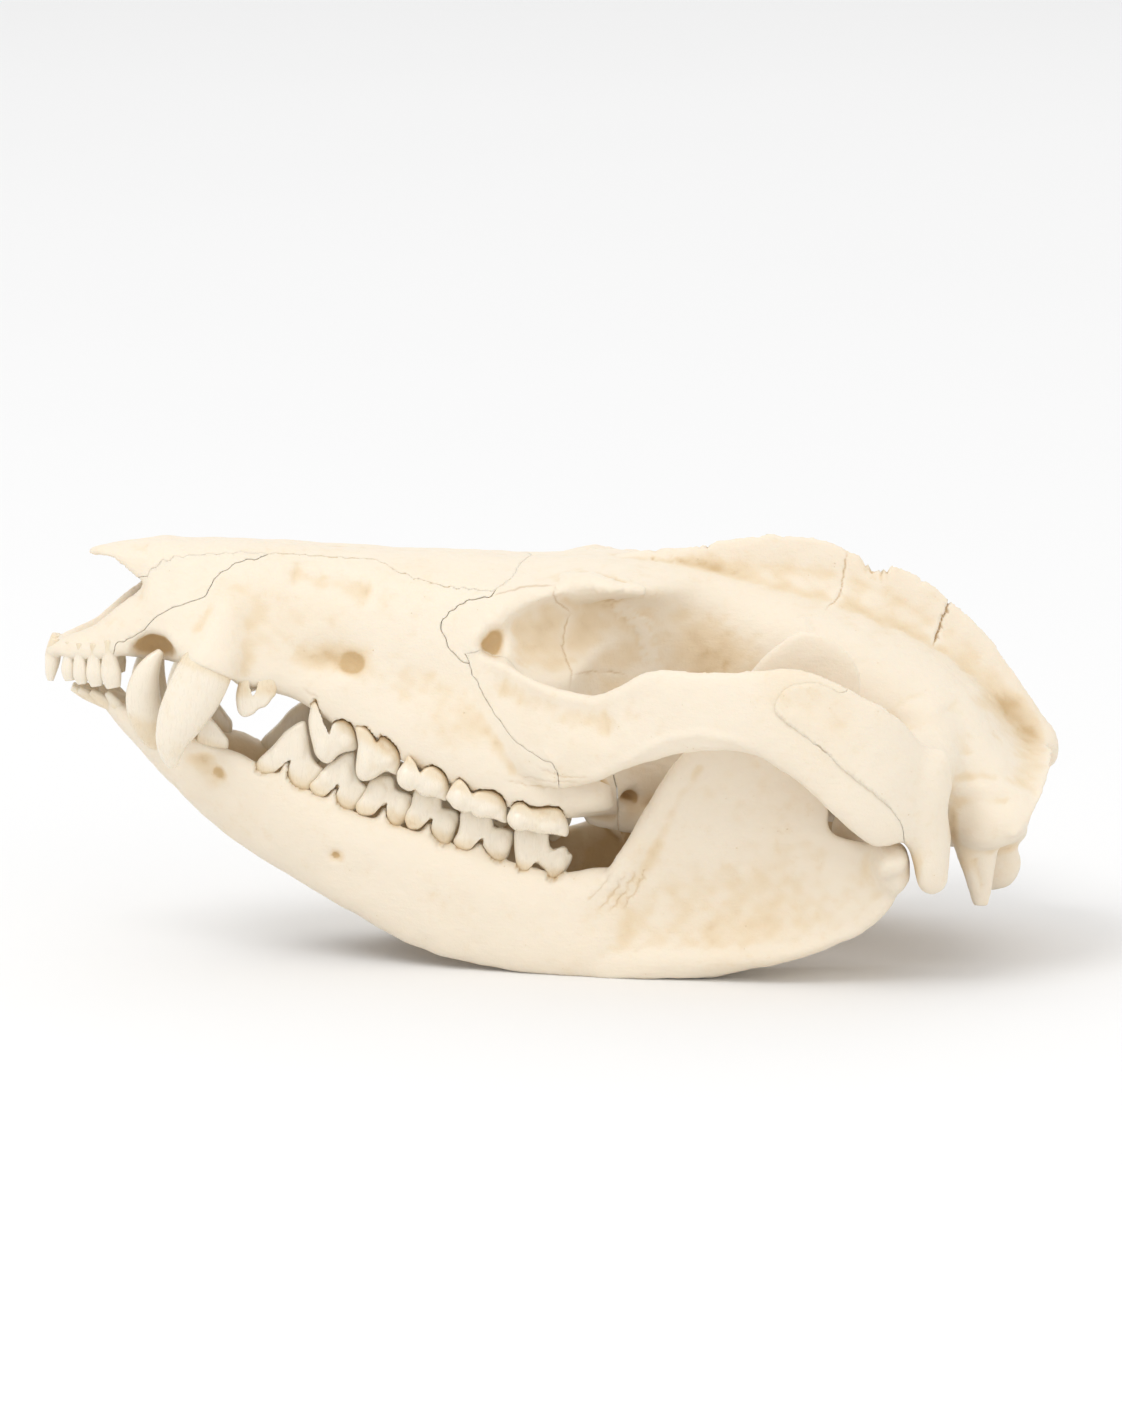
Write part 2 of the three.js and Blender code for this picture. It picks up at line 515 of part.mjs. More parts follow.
// Ramus from the lower border up to the coronoid tip. Each row is a level: low is its front edge, high its
// rear edge, and bow dishes its outer side.
const RAMUS = [
  [5.0, -0.35, 16.8, 19.6, -0.2, 18.4, 3.6, 3.4, 0],
  [1.6, 1.8, 16.0, 28.4, 1.9, 21.4, 3.8, 4.0, 0.2],
  [2.6, 4.4, 15.8, 36.4, 4.4, 22.4, 3.8, 3.6, 0.8],
  [4.0, 7.6, 16.0, 40.9, 7.2, 23.0, 3.8, 3.0, 1.3],
  [5.4, 11.0, 16.6, 43.6, 10.8, 23.4, 3.8, 3.0, 1.6],
  [6.9, 13.8, 17.2, 44.8, 14.2, 23.7, 3.8, 3.6, 1.5],
  [8.2, 16.0, 17.8, 42.4, 16.4, 23.5, 3.8, 3.2, 1.3],
  [9.6, 18.2, 18.2, 35.2, 18.0, 23.0, 3.8, 2.2, 1.1],
  [11.8, 21.6, 18.7, 34.6, 21.0, 22.8, 3.7, 1.8, 0.9],
  [14.2, 25.6, 19.3, 35.6, 24.8, 22.8, 3.4, 1.6, 0.8],
  [17.0, 29.4, 19.9, 36.9, 29.0, 22.9, 3.1, 1.5, 0.6],
  [20.3, 33.3, 20.6, 38.0, 33.2, 23.0, 2.8, 1.4, 0.4],
  [23.4, 37.2, 21.3, 38.4, 37.4, 23.0, 2.4, 1.3, 0.2],
  [26.0, 40.2, 21.9, 37.0, 40.4, 22.9, 2.0, 1.2, 0],
  [28.4, 42.3, 22.2, 34.8, 42.4, 22.7, 1.6, 1.1, 0],
  [30.4, 43.4, 22.4, 32.2, 43.4, 22.5, 1.0, 0.9, 0],
];

// The angle of the jaw turns inwards as a shelf; low is its inner edge and high its outer one.
const ANGLE = [
  [8.0, 0.9, 15.0, 8.0, 1.2, 18.0, 1.6, 1.8, 0],
  [16.0, 1.6, 13.4, 17.0, 1.5, 19.8, 1.8, 2.4, 0],
  [24.0, 3.2, 12.4, 25.4, 2.4, 21.4, 1.8, 2.4, 0],
  [32.0, 6.0, 11.8, 33.0, 4.4, 22.4, 1.8, 2.4, 0],
  [37.6, 9.4, 12.4, 37.6, 7.0, 23.0, 1.6, 2.2, 0],
  [39.4, 11.4, 14.0, 40.6, 9.4, 23.2, 1.2, 1.6, 0],
];

function angleShelf(side) {
  return swept(7, 8, (t, angle) => {
    const [x0, v0, w0, x1, v1, w1, thick0, thick1] = between(ANGLE, t);
    const h = (1 + Math.cos(angle)) / 2;
    const mix = (a, b) => a + (b - a) * h;
    const off = (Math.sin(angle) * mix(thick0, thick1)) / 2;
    return seen(mix(x0, x1), mix(v0, v1) + off, mix(w0, w1), side);
  });
}

const JAW_CONDYLE = { at: [42.0, 14.9, 24.6], radii: [2.5, 5.6, 2.4] };

const FAR = 90; // reach of a cutting block

function lowerJaw(side) {
  const bone = join([
    ribbon(JAW_BODY, 22, 10, side),
    ribbon(RAMUS, 17, 12, side),
    angleShelf(side),
    bulb(JAW_CONDYLE, side),
    ...lowerTeeth(side),
  ]);
  const [near, far] = [[-FAR, -GAP / 2], [GAP / 2, FAR]];
  const [y0, y1] = side < 0 ? [near[1], far[1]] : [near[0], far[0]];
  const otherJaw = block([-FAR, y0, -FAR], [FAR, y1, FAR]);
  const floor = block([-FAR, -FAR, -FAR], [FAR, FAR, 0]);
  return largest(cut(bone, [otherJaw, floor, bulb(MENTAL_HOLE, side)]));
}

// Half width of the paired nasals seen from above, as rows of [x, half width].
const NASAL_PLAN = [
  [-59.0, 0.9],
  [-54.0, 3.6],
  [-50.0, 4.3],
  [-36.0, 4.7],
  [-28.0, 5.2],
  [-20.0, 7.0],
  [-14.5, 8.8],
  [-9.0, 9.4],
  [-6.2, 8.2],
  [-4.2, 5.6],
  [-2.2, 2.2],
];
const NASAL_FLOOR = 48.2; // how deep the nasals reach into the roof
const NASAL_FRONT = -66;

// The block that holds the nasals, grown on every side by the given amount.
function nasalBlock(grown) {
  const right = NASAL_PLAN.map(([x, half]) => new THREE.Vector2(x * SCALE, (half + grown) * SCALE));
  const left = NASAL_PLAN.map(([x, half]) => new THREE.Vector2(x * SCALE, -(half + grown) * SCALE));
  const front = new THREE.Vector2(NASAL_FRONT * SCALE, 0);
  const rear = new THREE.Vector2((NASAL_PLAN.at(-1)[0] + 1.2 + grown) * SCALE, 0);
  const shape = new THREE.Shape([front, ...left, rear, ...right.reverse()]);
  const geometry = new THREE.ExtrudeGeometry(shape, { depth: FAR, bevelEnabled: false });
  return solid(geometry.translate(0, 0, (NASAL_FLOOR - grown) * SCALE));
}

// Sutures as side-view lines of [x, v].
const PREMAXILLA_SUTURE = [
  [-56.6, 34.0],
  [-55.0, 41.2],
  [-53.2, 42.3],
  [-50.0, 45.0],
  [-46.3, 47.2],
  [-43.6, 48.2],
  [-42.0, 50.4],
  [-39.4, 51.9],
  [-35.6, 53.0],
  [-33.0, 60.0],
];
const FACE_SUTURE = [
  [-9.6, 62.0],
  [-8.8, 48.6],
  [-10.8, 47.2],
  [-13.4, 45.5],
  [-14.2, 44.1],
  [-13.6, 42.2],
  [-11.7, 40.0],
  [-8.2, 38.8],
  [-5.0, 38.2],
  [-2.0, 34.6],
  [1.6, 29.0],
  [3.8, 24.0],
  [4.6, 14.0],
];
const CHEEK_SUTURE = [
  [-12.0, 46.0],
  [-11.1, 39.1],
  [-8.2, 33.4],
  [-5.3, 29.9],
  [-2.2, 27.9],
  [0.2, 26.4],
  [1.0, 18.0],
];
const TEMPLE_SUTURE = [
  [37.4, 44.0],
  [36.6, 36.1],
  [32.6, 36.8],
  [29.2, 36.4],
  [27.6, 34.2],
  [28.4, 32.8],
  [30.6, 31.2],
  [36.8, 26.0],
  [43.2, 19.4],
  [43.8, 10.0],
];

// The one of several separate bodies that holds a side-view place [x, v, w].
function piece(whole, at, side = -1) {
  const probe = bulb({ at, radii: [0.4, 0.4, 0.4] }, side);
  return whole.decompose().find((part) => part.intersect(probe).volume() > 0);
}

const IN_FACE = [-15.0, 35.5, 11.4];
const IN_JUGAL = [18.0, 33.0, 29.0];
const IN_TEMPLE = [42.0, 25.0, 29.5];
const IN_PREMAXILLA = [-58.0, 42.6, 0];
const IN_MAXILLA = [-30.0, 44.0, 0];
const IN_BRAINCASE = [30.0, 35.0, 0];

const ARCH_STEPS = 24;

// The cheek arch of one side in its three bones: face end, jugal and temple end.
function archPieces(side) {
  const parted = cut(ribbon(ARCH, ARCH_STEPS, 10, side), [
    sutureWall(CHEEK_SUTURE, 20, 4, 40, side),
    sutureWall(TEMPLE_SUTURE, 31, 15, 45, side),
  ]);
  return {
    face: piece(parted, IN_FACE, side),
    jugal: piece(parted, IN_JUGAL, side),
    temple: piece(parted, IN_TEMPLE, side),
  };
}

// The jugal with the room around it, to be kept clear of its neighbours.
function jugalRoom(side) {
  const grown = 2 * GAP;
  const wide = ARCH.map(([x0, v0, w0, x1, v1, w1, low, high, bow]) => {
    return [x0, v0 - grown, w0, x1, v1 + grown, w1, low + 2 * grown, high + 2 * grown, bow];
  });
  const near = 0.65 * GAP;
  const far = 2 * GAP;
  const room = cut(ribbon(wide, ARCH_STEPS, 10, side), [
    sutureWall(CHEEK_SUTURE, 20, 4, 40, side, [-far, -near]),
    sutureWall(TEMPLE_SUTURE, 31, 15, 45, side, [near, far]),
  ]);
  return piece(room, IN_JUGAL, side);
}

const BOTH = [-1, 1];

function cranium() {
  const hollows = BOTH.flatMap((side) => {
    return [ORBIT, CANINE_NOTCH, INFRAORBITAL_HOLE].map((hollow) => bulb(hollow, side));
  });
  const middle = cut(core(), [nostril(), ...hollows]);
  const arches = BOTH.map((side) => archPieces(side));
  const sides = BOTH.flatMap((side, i) => [
    arches[i].face,
    arches[i].temple,
    ribbon(NAPE, 9, 8, side),
    crossbar(ARCH_ROOT, 4, 10, side),
    rod(PAROCCIPITAL, 4, 7, side),
    rod(POSTORBITAL, 4, 7, side),
    rod(PTERYGOID, 4, 6, side),
    ...[OCCIPITAL_CONDYLE, MASTOID, TEMPLE_BOSS, EAR_BULLA].map((swelling) => bulb(swelling, side)),
    ...upperTeeth(side),
  ]);
  const rooms = BOTH.flatMap((side) => [jugalRoom(side), bulb(JAW_CONDYLE, side, GAP)]);
  const whole = join([middle, nasalRoof(), ribbon(CREST, 20, 8), ...sides]);
  const trimmed = cut(whole, [bulb(FORAMEN_MAGNUM), ...rooms]);
  const nasals = trimmed.intersect(nasalBlock(0));
  const rest = cut(trimmed.subtract(nasalBlock(GAP)), [
    sutureWall(PREMAXILLA_SUTURE, 6, -20, 20),
    sutureWall(FACE_SUTURE, 12, -20, 20),
  ]);
  return {
    nasals: largest(nasals),
    premaxillae: piece(rest, IN_PREMAXILLA),
    maxillae: piece(rest, IN_MAXILLA),
    braincase: piece(rest, IN_BRAINCASE),
    jugals: arches.map((arch) => arch.jugal),
  };
}

function mesh(name, body, look) {
  const made = body.getMesh();
  const position = new Float32Array(made.numVert * 3);
  for (let i = 0; i < made.numVert; i++) {
    position.set(made.vertProperties.subarray(i * made.numProp, i * made.numProp + 3), i * 3);
  }
  const geometry = new THREE.BufferGeometry();
  geometry.setAttribute("position", new THREE.BufferAttribute(position, 3));
  geometry.setIndex(new THREE.BufferAttribute(new Uint32Array(made.triVerts), 1));
  const object = new THREE.Mesh(geometry, new THREE.MeshStandardMaterial(look));
  object.name = name;
  return object;
}

const bones = cranium();
const skull = new THREE.Group();
skull.name = "opossum_skull";
skull.add(mesh("braincase", bones.braincase, BONE));
skull.add(mesh("nasal_bones", bones.nasals, BONE));
skull.add(mesh("maxillae", bones.maxillae, TOOTHED_BONE));
skull.add(mesh("premaxillae", bones.premaxillae, TOOTHED_BONE));
skull.add(mesh("jugal_left", bones.jugals[0], BONE));
skull.add(mesh("jugal_right", bones.jugals[1], BONE));
skull.add(mesh("mandible_left", lowerJaw(-1), TOOTHED_BONE));
skull.add(mesh("mandible_right", lowerJaw(1), TOOTHED_BONE));

export default skull;
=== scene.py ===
"""Opossum skull, the dressed model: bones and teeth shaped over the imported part, in its own frame.

The tables hold millimetres of a side view: x runs along the skull with the snout at the low end, v runs up
the picture and w is the distance off the midline. SideView turns such a place into a true one.
"""

import json
import logging
import math
from collections.abc import Callable, Sequence
from dataclasses import dataclass, field
from enum import Enum

import bpy
import numpy as np
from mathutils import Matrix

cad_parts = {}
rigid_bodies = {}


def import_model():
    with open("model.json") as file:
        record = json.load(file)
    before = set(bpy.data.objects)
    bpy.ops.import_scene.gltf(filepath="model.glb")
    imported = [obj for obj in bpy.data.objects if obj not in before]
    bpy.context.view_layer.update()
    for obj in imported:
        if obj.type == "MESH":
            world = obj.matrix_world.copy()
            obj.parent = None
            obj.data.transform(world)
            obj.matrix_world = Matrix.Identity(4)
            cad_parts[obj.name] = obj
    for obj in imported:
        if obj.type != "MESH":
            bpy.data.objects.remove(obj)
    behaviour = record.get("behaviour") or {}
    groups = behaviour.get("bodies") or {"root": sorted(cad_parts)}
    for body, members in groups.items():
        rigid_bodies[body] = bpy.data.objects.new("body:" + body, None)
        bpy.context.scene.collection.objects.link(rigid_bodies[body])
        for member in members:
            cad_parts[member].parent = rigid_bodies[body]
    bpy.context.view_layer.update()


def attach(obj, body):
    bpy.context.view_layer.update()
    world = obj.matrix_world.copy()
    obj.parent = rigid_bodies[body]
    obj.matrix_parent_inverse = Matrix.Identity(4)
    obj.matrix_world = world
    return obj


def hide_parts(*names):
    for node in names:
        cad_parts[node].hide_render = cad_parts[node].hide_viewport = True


log = logging.getLogger("skull")

MM = 0.001
SKULL_LENGTH = 127.0
TABLE_LENGTH = 127.0
UNIT = MM * SKULL_LENGTH / TABLE_LENGTH
SUTURE_GAP = 0.13
SNOUT_GAP = 0.07
FACE_GAP = 0.09
JUGAL_GAP = 0.03
BONE_GRAIN = 0.39
TOOTH_GRAIN = 0.15
# Each dressed piece is clipped to the imported part's box.
BOX_HIGH = np.array((63.42, 33.22, 52.70)) * UNIT
BOX_LOW = np.array((-63.42, -33.22, 0.0)) * UNIT
LEFT = -1
RIGHT = 1
BOTH = (LEFT, RIGHT)

Place = tuple[float, float, float]
Line = tuple[tuple[float, float], ...]
Rows = tuple[tuple[float, ...], ...]
Wall = Callable[[np.ndarray, np.ndarray], np.ndarray]

# Snout, face and brain case as one body: x, top v, then w and v of the roof edge, upper cheek, lower cheek
# and tooth margin, then palate v.
CORE: Rows = (
    (-63.2, 41.4, 1.3, 41.4, 2.3, 41.3, 2.6, 41.0, 2.2, 40.6, 41.0),
    (-61.5, 42.7, 2.4, 42.5, 3.5, 42.0, 4.1, 41.1, 3.8, 40.1, 41.1),
    (-57.6, 44.7, 3.2, 44.2, 4.9, 43.1, 5.8, 41.4, 5.4, 39.8, 40.7),
    (-54.6, 47.3, 3.4, 46.7, 5.4, 45.1, 6.5, 42.6, 6.2, 40.3, 40.6),
    (-51.4, 50.1, 3.5, 49.6, 6.1, 46.9, 7.2, 43.6, 6.4, 40.2, 40.4),
    (-50.4, 54.6, 3.9, 53.4, 6.3, 48.6, 7.5, 44.0, 6.8, 40.1, 40.3),
    (-46.0, 54.7, 4.4, 53.3, 7.1, 49.2, 9.6, 44.0, 10.3, 39.7, 39.4),
    (-42.0, 54.7, 4.7, 53.2, 7.6, 49.2, 10.2, 43.6, 10.6, 39.2, 38.4),
    (-39.4, 54.6, 4.9, 53.1, 7.8, 49.0, 9.8, 42.8, 9.8, 36.6, 37.2),
    (-33.0, 54.3, 5.0, 52.8, 8.2, 48.7, 9.6, 42.0, 9.3, 35.4, 35.8),
    (-27.0, 53.9, 5.6, 52.2, 8.8, 48.2, 10.6, 41.0, 10.4, 31.6, 33.2),
    (-20.0, 53.5, 6.6, 51.4, 9.9, 47.4, 12.0, 40.0, 12.8, 27.8, 30.0),
    (-13.0, 53.1, 8.2, 50.4, 11.9, 46.6, 14.4, 38.0, 15.4, 24.5, 27.0),
    (-6.0, 52.8, 10.0, 49.6, 13.6, 46.0, 16.0, 36.0, 17.4, 21.8, 24.4),
    (0.5, 52.7, 11.0, 49.1, 12.4, 46.2, 14.4, 35.0, 17.8, 20.4, 22.6),
    (6.0, 52.7, 11.6, 48.8, 9.2, 45.6, 8.8, 35.0, 12.6, 21.0, 21.8),
    (12.0, 52.3, 9.8, 48.8, 8.0, 45.0, 7.6, 35.0, 7.6, 22.2, 21.2),
    (18.0, 51.6, 5.4, 49.4, 7.0, 44.6, 7.4, 35.0, 7.8, 23.0, 20.8),
    (24.0, 50.0, 4.4, 48.6, 8.4, 43.8, 10.0, 35.6, 9.0, 24.0, 20.4),
    (30.0, 48.6, 4.4, 47.4, 10.4, 42.8, 12.8, 35.0, 11.0, 23.6, 20.0),
    (36.0, 47.0, 4.8, 45.8, 11.8, 41.2, 14.6, 34.0, 13.0, 22.6, 19.4),
    (42.0, 44.6, 5.0, 43.4, 12.2, 39.2, 15.6, 32.2, 14.8, 21.6, 18.6),
    (47.0, 42.0, 5.4, 40.8, 12.4, 36.6, 16.2, 30.0, 16.0, 20.8, 17.0),
    (52.0, 38.0, 5.6, 36.8, 12.2, 33.0, 16.4, 27.0, 16.8, 19.4, 15.8),
    (56.4, 33.0, 5.4, 32.2, 11.4, 29.2, 16.0, 24.6, 16.2, 19.0, 15.4),
    (59.2, 29.6, 4.8, 29.0, 9.8, 26.8, 13.8, 23.0, 13.0, 19.2, 17.4),
)

# Flat bones, each row x, v and w of the low edge, the same of the high edge, both thicknesses and the bow.
CREST: Rows = (
    (8.0, 50.0, 0, 8.0, 53.3, 0, 5.0, 3.2, 0),
    (15.0, 47.0, 0, 15.0, 53.8, 0, 5.0, 2.0, 0),
    (21.0, 45.0, 0, 21.2, 54.9, 0, 4.6, 1.4, 0),
    (26.5, 43.5, 0, 27.4, 55.5, 0, 4.4, 1.3, 0),
    (32.0, 42.0, 0, 33.6, 54.8, 0, 4.4, 1.3, 0),
    (36.5, 40.5, 0, 38.2, 52.8, 0, 4.4, 1.3, 0),
    (41.0, 38.5, 0, 44.5, 50.8, 0, 4.4, 1.3, 0),
    (45.0, 36.0, 0, 49.2, 47.4, 0, 4.4, 1.3, 0),
    (49.0, 33.0, 0, 55.4, 41.4, 0, 4.4, 1.4, 0),
    (52.5, 29.5, 0, 61.0, 33.5, 0, 4.6, 1.7, 0),
    (54.5, 26.0, 0, 63.3, 29.5, 0, 4.6, 2.2, 0),
    (54.5, 22.5, 0, 62.8, 26.6, 0, 4.6, 2.2, 0),
)
NAPE: Rows = (
    (55.5, 29.0, -1.1, 63.1, 29.9, -1.1, 4.0, 1.8, 0),
    (55.0, 28.4, 3.0, 63.3, 28.4, 5.0, 4.0, 1.6, 0),
    (54.4, 27.2, 6.5, 63.0, 26.2, 10.0, 4.0, 1.5, 0),
    (53.8, 25.4, 9.5, 61.8, 23.2, 14.6, 4.2, 1.5, 0),
    (53.4, 23.0, 11.5, 59.8, 19.8, 18.2, 4.6, 1.6, 0),
    (53.2, 20.6, 12.6, 57.6, 17.2, 19.8, 5.0, 2.2, 0),
)
ARCH: Rows = (
    (-19.0, 31.0, 9.6, -19.0, 39.6, 9.2, 3.2, 2.6, 0),
    (-12.6, 30.6, 12.8, -12.6, 40.4, 12.2, 3.6, 3.0, 0),
    (-6.9, 27.0, 16.0, -6.9, 39.6, 15.4, 4.8, 3.6, 0),
    (-1.3, 24.2, 20.0, -1.3, 36.9, 20.2, 5.0, 3.4, 0),
    (5.6, 24.9, 23.9, 5.6, 35.6, 23.9, 4.4, 2.8, 0),
    (11.8, 27.0, 26.7, 11.8, 38.5, 26.6, 3.8, 2.3, 0),
    (18.0, 28.3, 29.0, 18.0, 38.2, 29.0, 3.8, 2.1, 0),
    (24.3, 27.9, 30.6, 24.3, 38.4, 30.4, 3.8, 2.1, 0),
    (30.2, 24.5, 31.6, 30.8, 38.7, 31.2, 3.8, 2.3, 0),
    (35.0, 20.2, 31.6, 37.4, 35.9, 31.0, 4.0, 2.5, 0),
    (39.6, 16.5, 30.4, 42.0, 33.3, 29.6, 4.4, 3.0, 0),
    (43.2, 16.6, 28.4, 45.8, 30.0, 26.6, 5.0, 3.8, 0),
    (44.2, 16.8, 26.4, 48.6, 24.8, 23.6, 6.4, 5.2, 0),
    (44.6, 13.8, 25.6, 49.7, 18.0, 23.4, 7.4, 6.8, 0),
    (45.8, 10.3, 25.4, 49.2, 11.8, 24.2, 6.0, 6.0, 0),
)
JAW_BODY: Rows = (
    (-57.6, 35.0, 1.6, -57.2, 36.2, 1.6, 1.6, 1.8, 0),
    (-55.4, 32.4, 2.3, -54.2, 34.6, 2.4, 4.0, 4.2, 0),
    (-51.7, 28.2, 3.0, -49.6, 31.6, 4.4, 5.4, 5.4, 0),
    (-48.2, 24.4, 3.2, -45.6, 30.2, 5.6, 5.8, 5.6, 0),
    (-43.4, 19.6, 3.6, -40.8, 28.6, 6.6, 5.8, 5.2, 0),
    (-38.2, 15.5, 4.2, -36.4, 26.4, 7.4, 5.6, 4.8, 0),
    (-32.9, 12.4, 5.6, -31.3, 23.6, 8.0, 5.6, 4.8, 0),
    (-26.9, 8.8, 7.8, -25.7, 21.0, 9.0, 5.4, 5.0, 0),
    (-19.4, 4.6, 10.2, -18.8, 18.8, 10.6, 5.0, 5.2, 0),
    (-13.2, 2.3, 12.2, -12.6, 16.6, 12.0, 4.8, 5.2, 0),
    (-5.7, 0.7, 14.2, -5.4, 14.4, 13.2, 4.8, 5.2, 0),
    (0.6, -0.05, 15.6, 0.6, 13.2, 14.4, 4.8, 5.0, 0),
    (5.6, -0.35, 16.6, 5.6, 13.8, 15.8, 4.4, 3.8, 0),
    (11.6, -0.3, 17.0, 11.0, 12.0, 16.4, 2.6, 2.0, 0),
)
RAMUS: Rows = (
    (5.0, -0.35, 16.8, 19.6, -0.2, 18.4, 3.6, 3.4, 0),
    (1.6, 1.8, 16.0, 28.4, 1.9, 21.4, 3.8, 4.0, 0.2),
    (2.6, 4.4, 15.8, 36.4, 4.4, 22.4, 3.8, 3.6, 0.8),
    (4.0, 7.6, 16.0, 40.9, 7.2, 23.0, 3.8, 3.0, 1.3),
    (5.4, 11.0, 16.6, 43.6, 10.8, 23.4, 3.8, 3.0, 1.6),
    (6.9, 13.8, 17.2, 44.8, 14.2, 23.7, 3.8, 3.6, 1.5),
    (8.2, 16.0, 17.8, 42.4, 16.4, 23.5, 3.8, 3.2, 1.3),
    (9.6, 18.2, 18.2, 35.2, 18.0, 23.0, 3.8, 2.2, 1.1),
    (11.8, 21.6, 18.7, 34.6, 21.0, 22.8, 3.7, 1.8, 0.9),
    (14.2, 25.6, 19.3, 35.6, 24.8, 22.8, 3.4, 1.6, 0.8),
    (17.0, 29.4, 19.9, 36.9, 29.0, 22.9, 3.1, 1.5, 0.6),
    (20.3, 33.3, 20.6, 38.0, 33.2, 23.0, 2.8, 1.4, 0.4),
    (23.4, 37.2, 21.3, 38.4, 37.4, 23.0, 2.4, 1.3, 0.2),
    (26.0, 40.2, 21.9, 37.0, 40.4, 22.9, 2.0, 1.2, 0),
    (28.4, 42.3, 22.2, 34.8, 42.4, 22.7, 1.6, 1.1, 0),
    (30.4, 43.4, 22.4, 32.2, 43.4, 22.5, 1.0, 0.9, 0),
)
ANGLE: Rows = (
    (8.0, 0.9, 15.0, 8.0, 1.2, 18.0, 1.6, 1.8, 0),
    (16.0, 1.6, 13.4, 17.0, 1.5, 19.8, 1.8, 2.4, 0),
    (24.0, 3.2, 12.4, 25.4, 2.4, 21.4, 1.8, 2.4, 0),
    (32.0, 6.0, 11.8, 33.0, 4.4, 22.4, 1.8, 2.4, 0),
    (37.6, 9.4, 12.4, 37.6, 7.0, 23.0, 1.6, 2.2, 0),
    (39.4, 11.4, 14.0, 40.6, 9.4, 23.2, 1.2, 1.6, 0),
)
NASAL_FLANK: Rows = (
    (-57.0, 52.7, 1.7, -57.0, 53.4, 1.0, 0.7, 0.8, 0),
    (-55.4, 52.3, 2.7, -55.4, 53.5, 2.0, 0.8, 0.9, 0),
    (-54.2, 51.6, 3.3, -54.0, 53.4, 2.8, 0.8, 0.9, 0),
    (-53.0, 50.6, 3.8, -52.6, 53.2, 3.4, 0.9, 1.0, 0),
    (-51.9, 49.7, 4.2, -51.2, 53.0, 3.8, 1.0, 1.2, 0),
    (-50.2, 48.6, 4.6, -49.4, 52.6, 4.0, 1.0, 1.2, 0),
)
CREST_ROOT: Rows = (
    (12.0, 46.0, 0, 13.0, 52.2, 0, 9.0, 3.4, 0),
    (21.0, 42.0, 0, 21.5, 52.6, 0, 13.0, 2.4, 0),
    (27.0, 40.0, 0, 28.2, 52.6, 0, 14.0, 2.2, 0),
    (33.0, 38.0, 0, 34.6, 51.6, 0, 15.0, 2.2, 0),
    (38.0, 36.0, 0, 40.4, 49.6, 0, 16.0, 2.4, 0),
    (43.0, 33.0, 0, 47.0, 46.0, 0, 16.0, 2.4, 0),
    (47.5, 29.0, 0, 53.0, 40.8, 0, 15.0, 2.8, 0),
    (51.0, 26.0, 0, 59.0, 34.4, 0, 14.0, 3.0, 0),
)

# Rods and crossbars: x, v, w and two half breadths.
ARCH_ROOT: Rows = (
    (44.4, 24.6, 28.4, 4.0, 4.6),
    (44.2, 25.6, 23.4, 4.9, 4.0),
    (44.5, 26.6, 19.4, 6.2, 4.0),
    (45.0, 27.6, 15.6, 6.6, 3.8),
    (44.6, 28.4, 10.0, 8.0, 4.0),
)
PAROCCIPITAL: Rows = (
    (52.6, 19.0, 15.0, 3.6, 3.0),
    (53.0, 14.4, 14.4, 2.4, 1.9),
    (53.3, 10.6, 14.0, 1.6, 1.4),
    (53.3, 8.6, 13.8, 1.1, 1.1),
)
POSTORBITAL: Rows = (
    (1.0, 48.5, 8.0, 2.2, 3.6),
    (4.7, 48.7, 10.6, 1.7, 3.0),
    (7.2, 48.5, 12.2, 1.15, 2.2),
    (10.0, 48.3, 13.3, 0.95, 1.5),
    (11.4, 48.3, 13.8, 0.75, 0.9),
)
PTERYGOID: Rows = (
    (4.0, 21.4, 9.0, 2.2, 1.6),
    (9.0, 20.2, 7.6, 2.2, 1.1),
    (15.0, 19.6, 6.8, 1.8, 1.0),
    (21.0, 19.6, 6.4, 1.4, 1.0),
)
CANINE_SHEATH: Rows = (
    (-39.4, 47.6, 8.0, 2.0, 1.2),
    (-41.0, 43.8, 9.1, 3.0, 2.0),
    (-42.4, 40.2, 10.2, 3.6, 2.7),
    (-43.2, 38.3, 10.7, 3.75, 2.85),
)
ROOT_SHEATH: Rows = (
    (-30.8, 38.2, 8.6, 0.7, 0.8),
    (-30.2, 36.4, 8.9, 1.0, 1.1),
    (-29.9, 34.4, 9.2, 1.05, 1.3),
)
ROW_END: Rows = (
    (-2.0, 23.4, 15.6, 1.8, 2.2),
    (2.0, 22.7, 15.8, 2.1, 2.4),
    (5.6, 22.5, 14.8, 2.0, 2.4),
    (7.2, 22.7, 13.6, 1.5, 1.8),
)

# Forms on the midline: x, v, half width and half height.
NASAL_ROOF: Rows = (
    (-58.2, 53.1, 0.8, 0.4),
    (-56.4, 53.5, 2.0, 0.55),
    (-53.6, 53.9, 3.2, 0.65),
    (-50.6, 54.1, 4.1, 0.8),
    (-47.0, 54.0, 4.2, 0.8),
)
NOSTRIL: Rows = (
    (-66.0, 46.6, 2.6, 4.2),
    (-58.0, 47.2, 3.4, 4.6),
    (-52.0, 48.2, 3.8, 4.9),
    (-46.0, 48.4, 4.0, 4.4),
    (-40.0, 48.0, 3.0, 3.2),
)

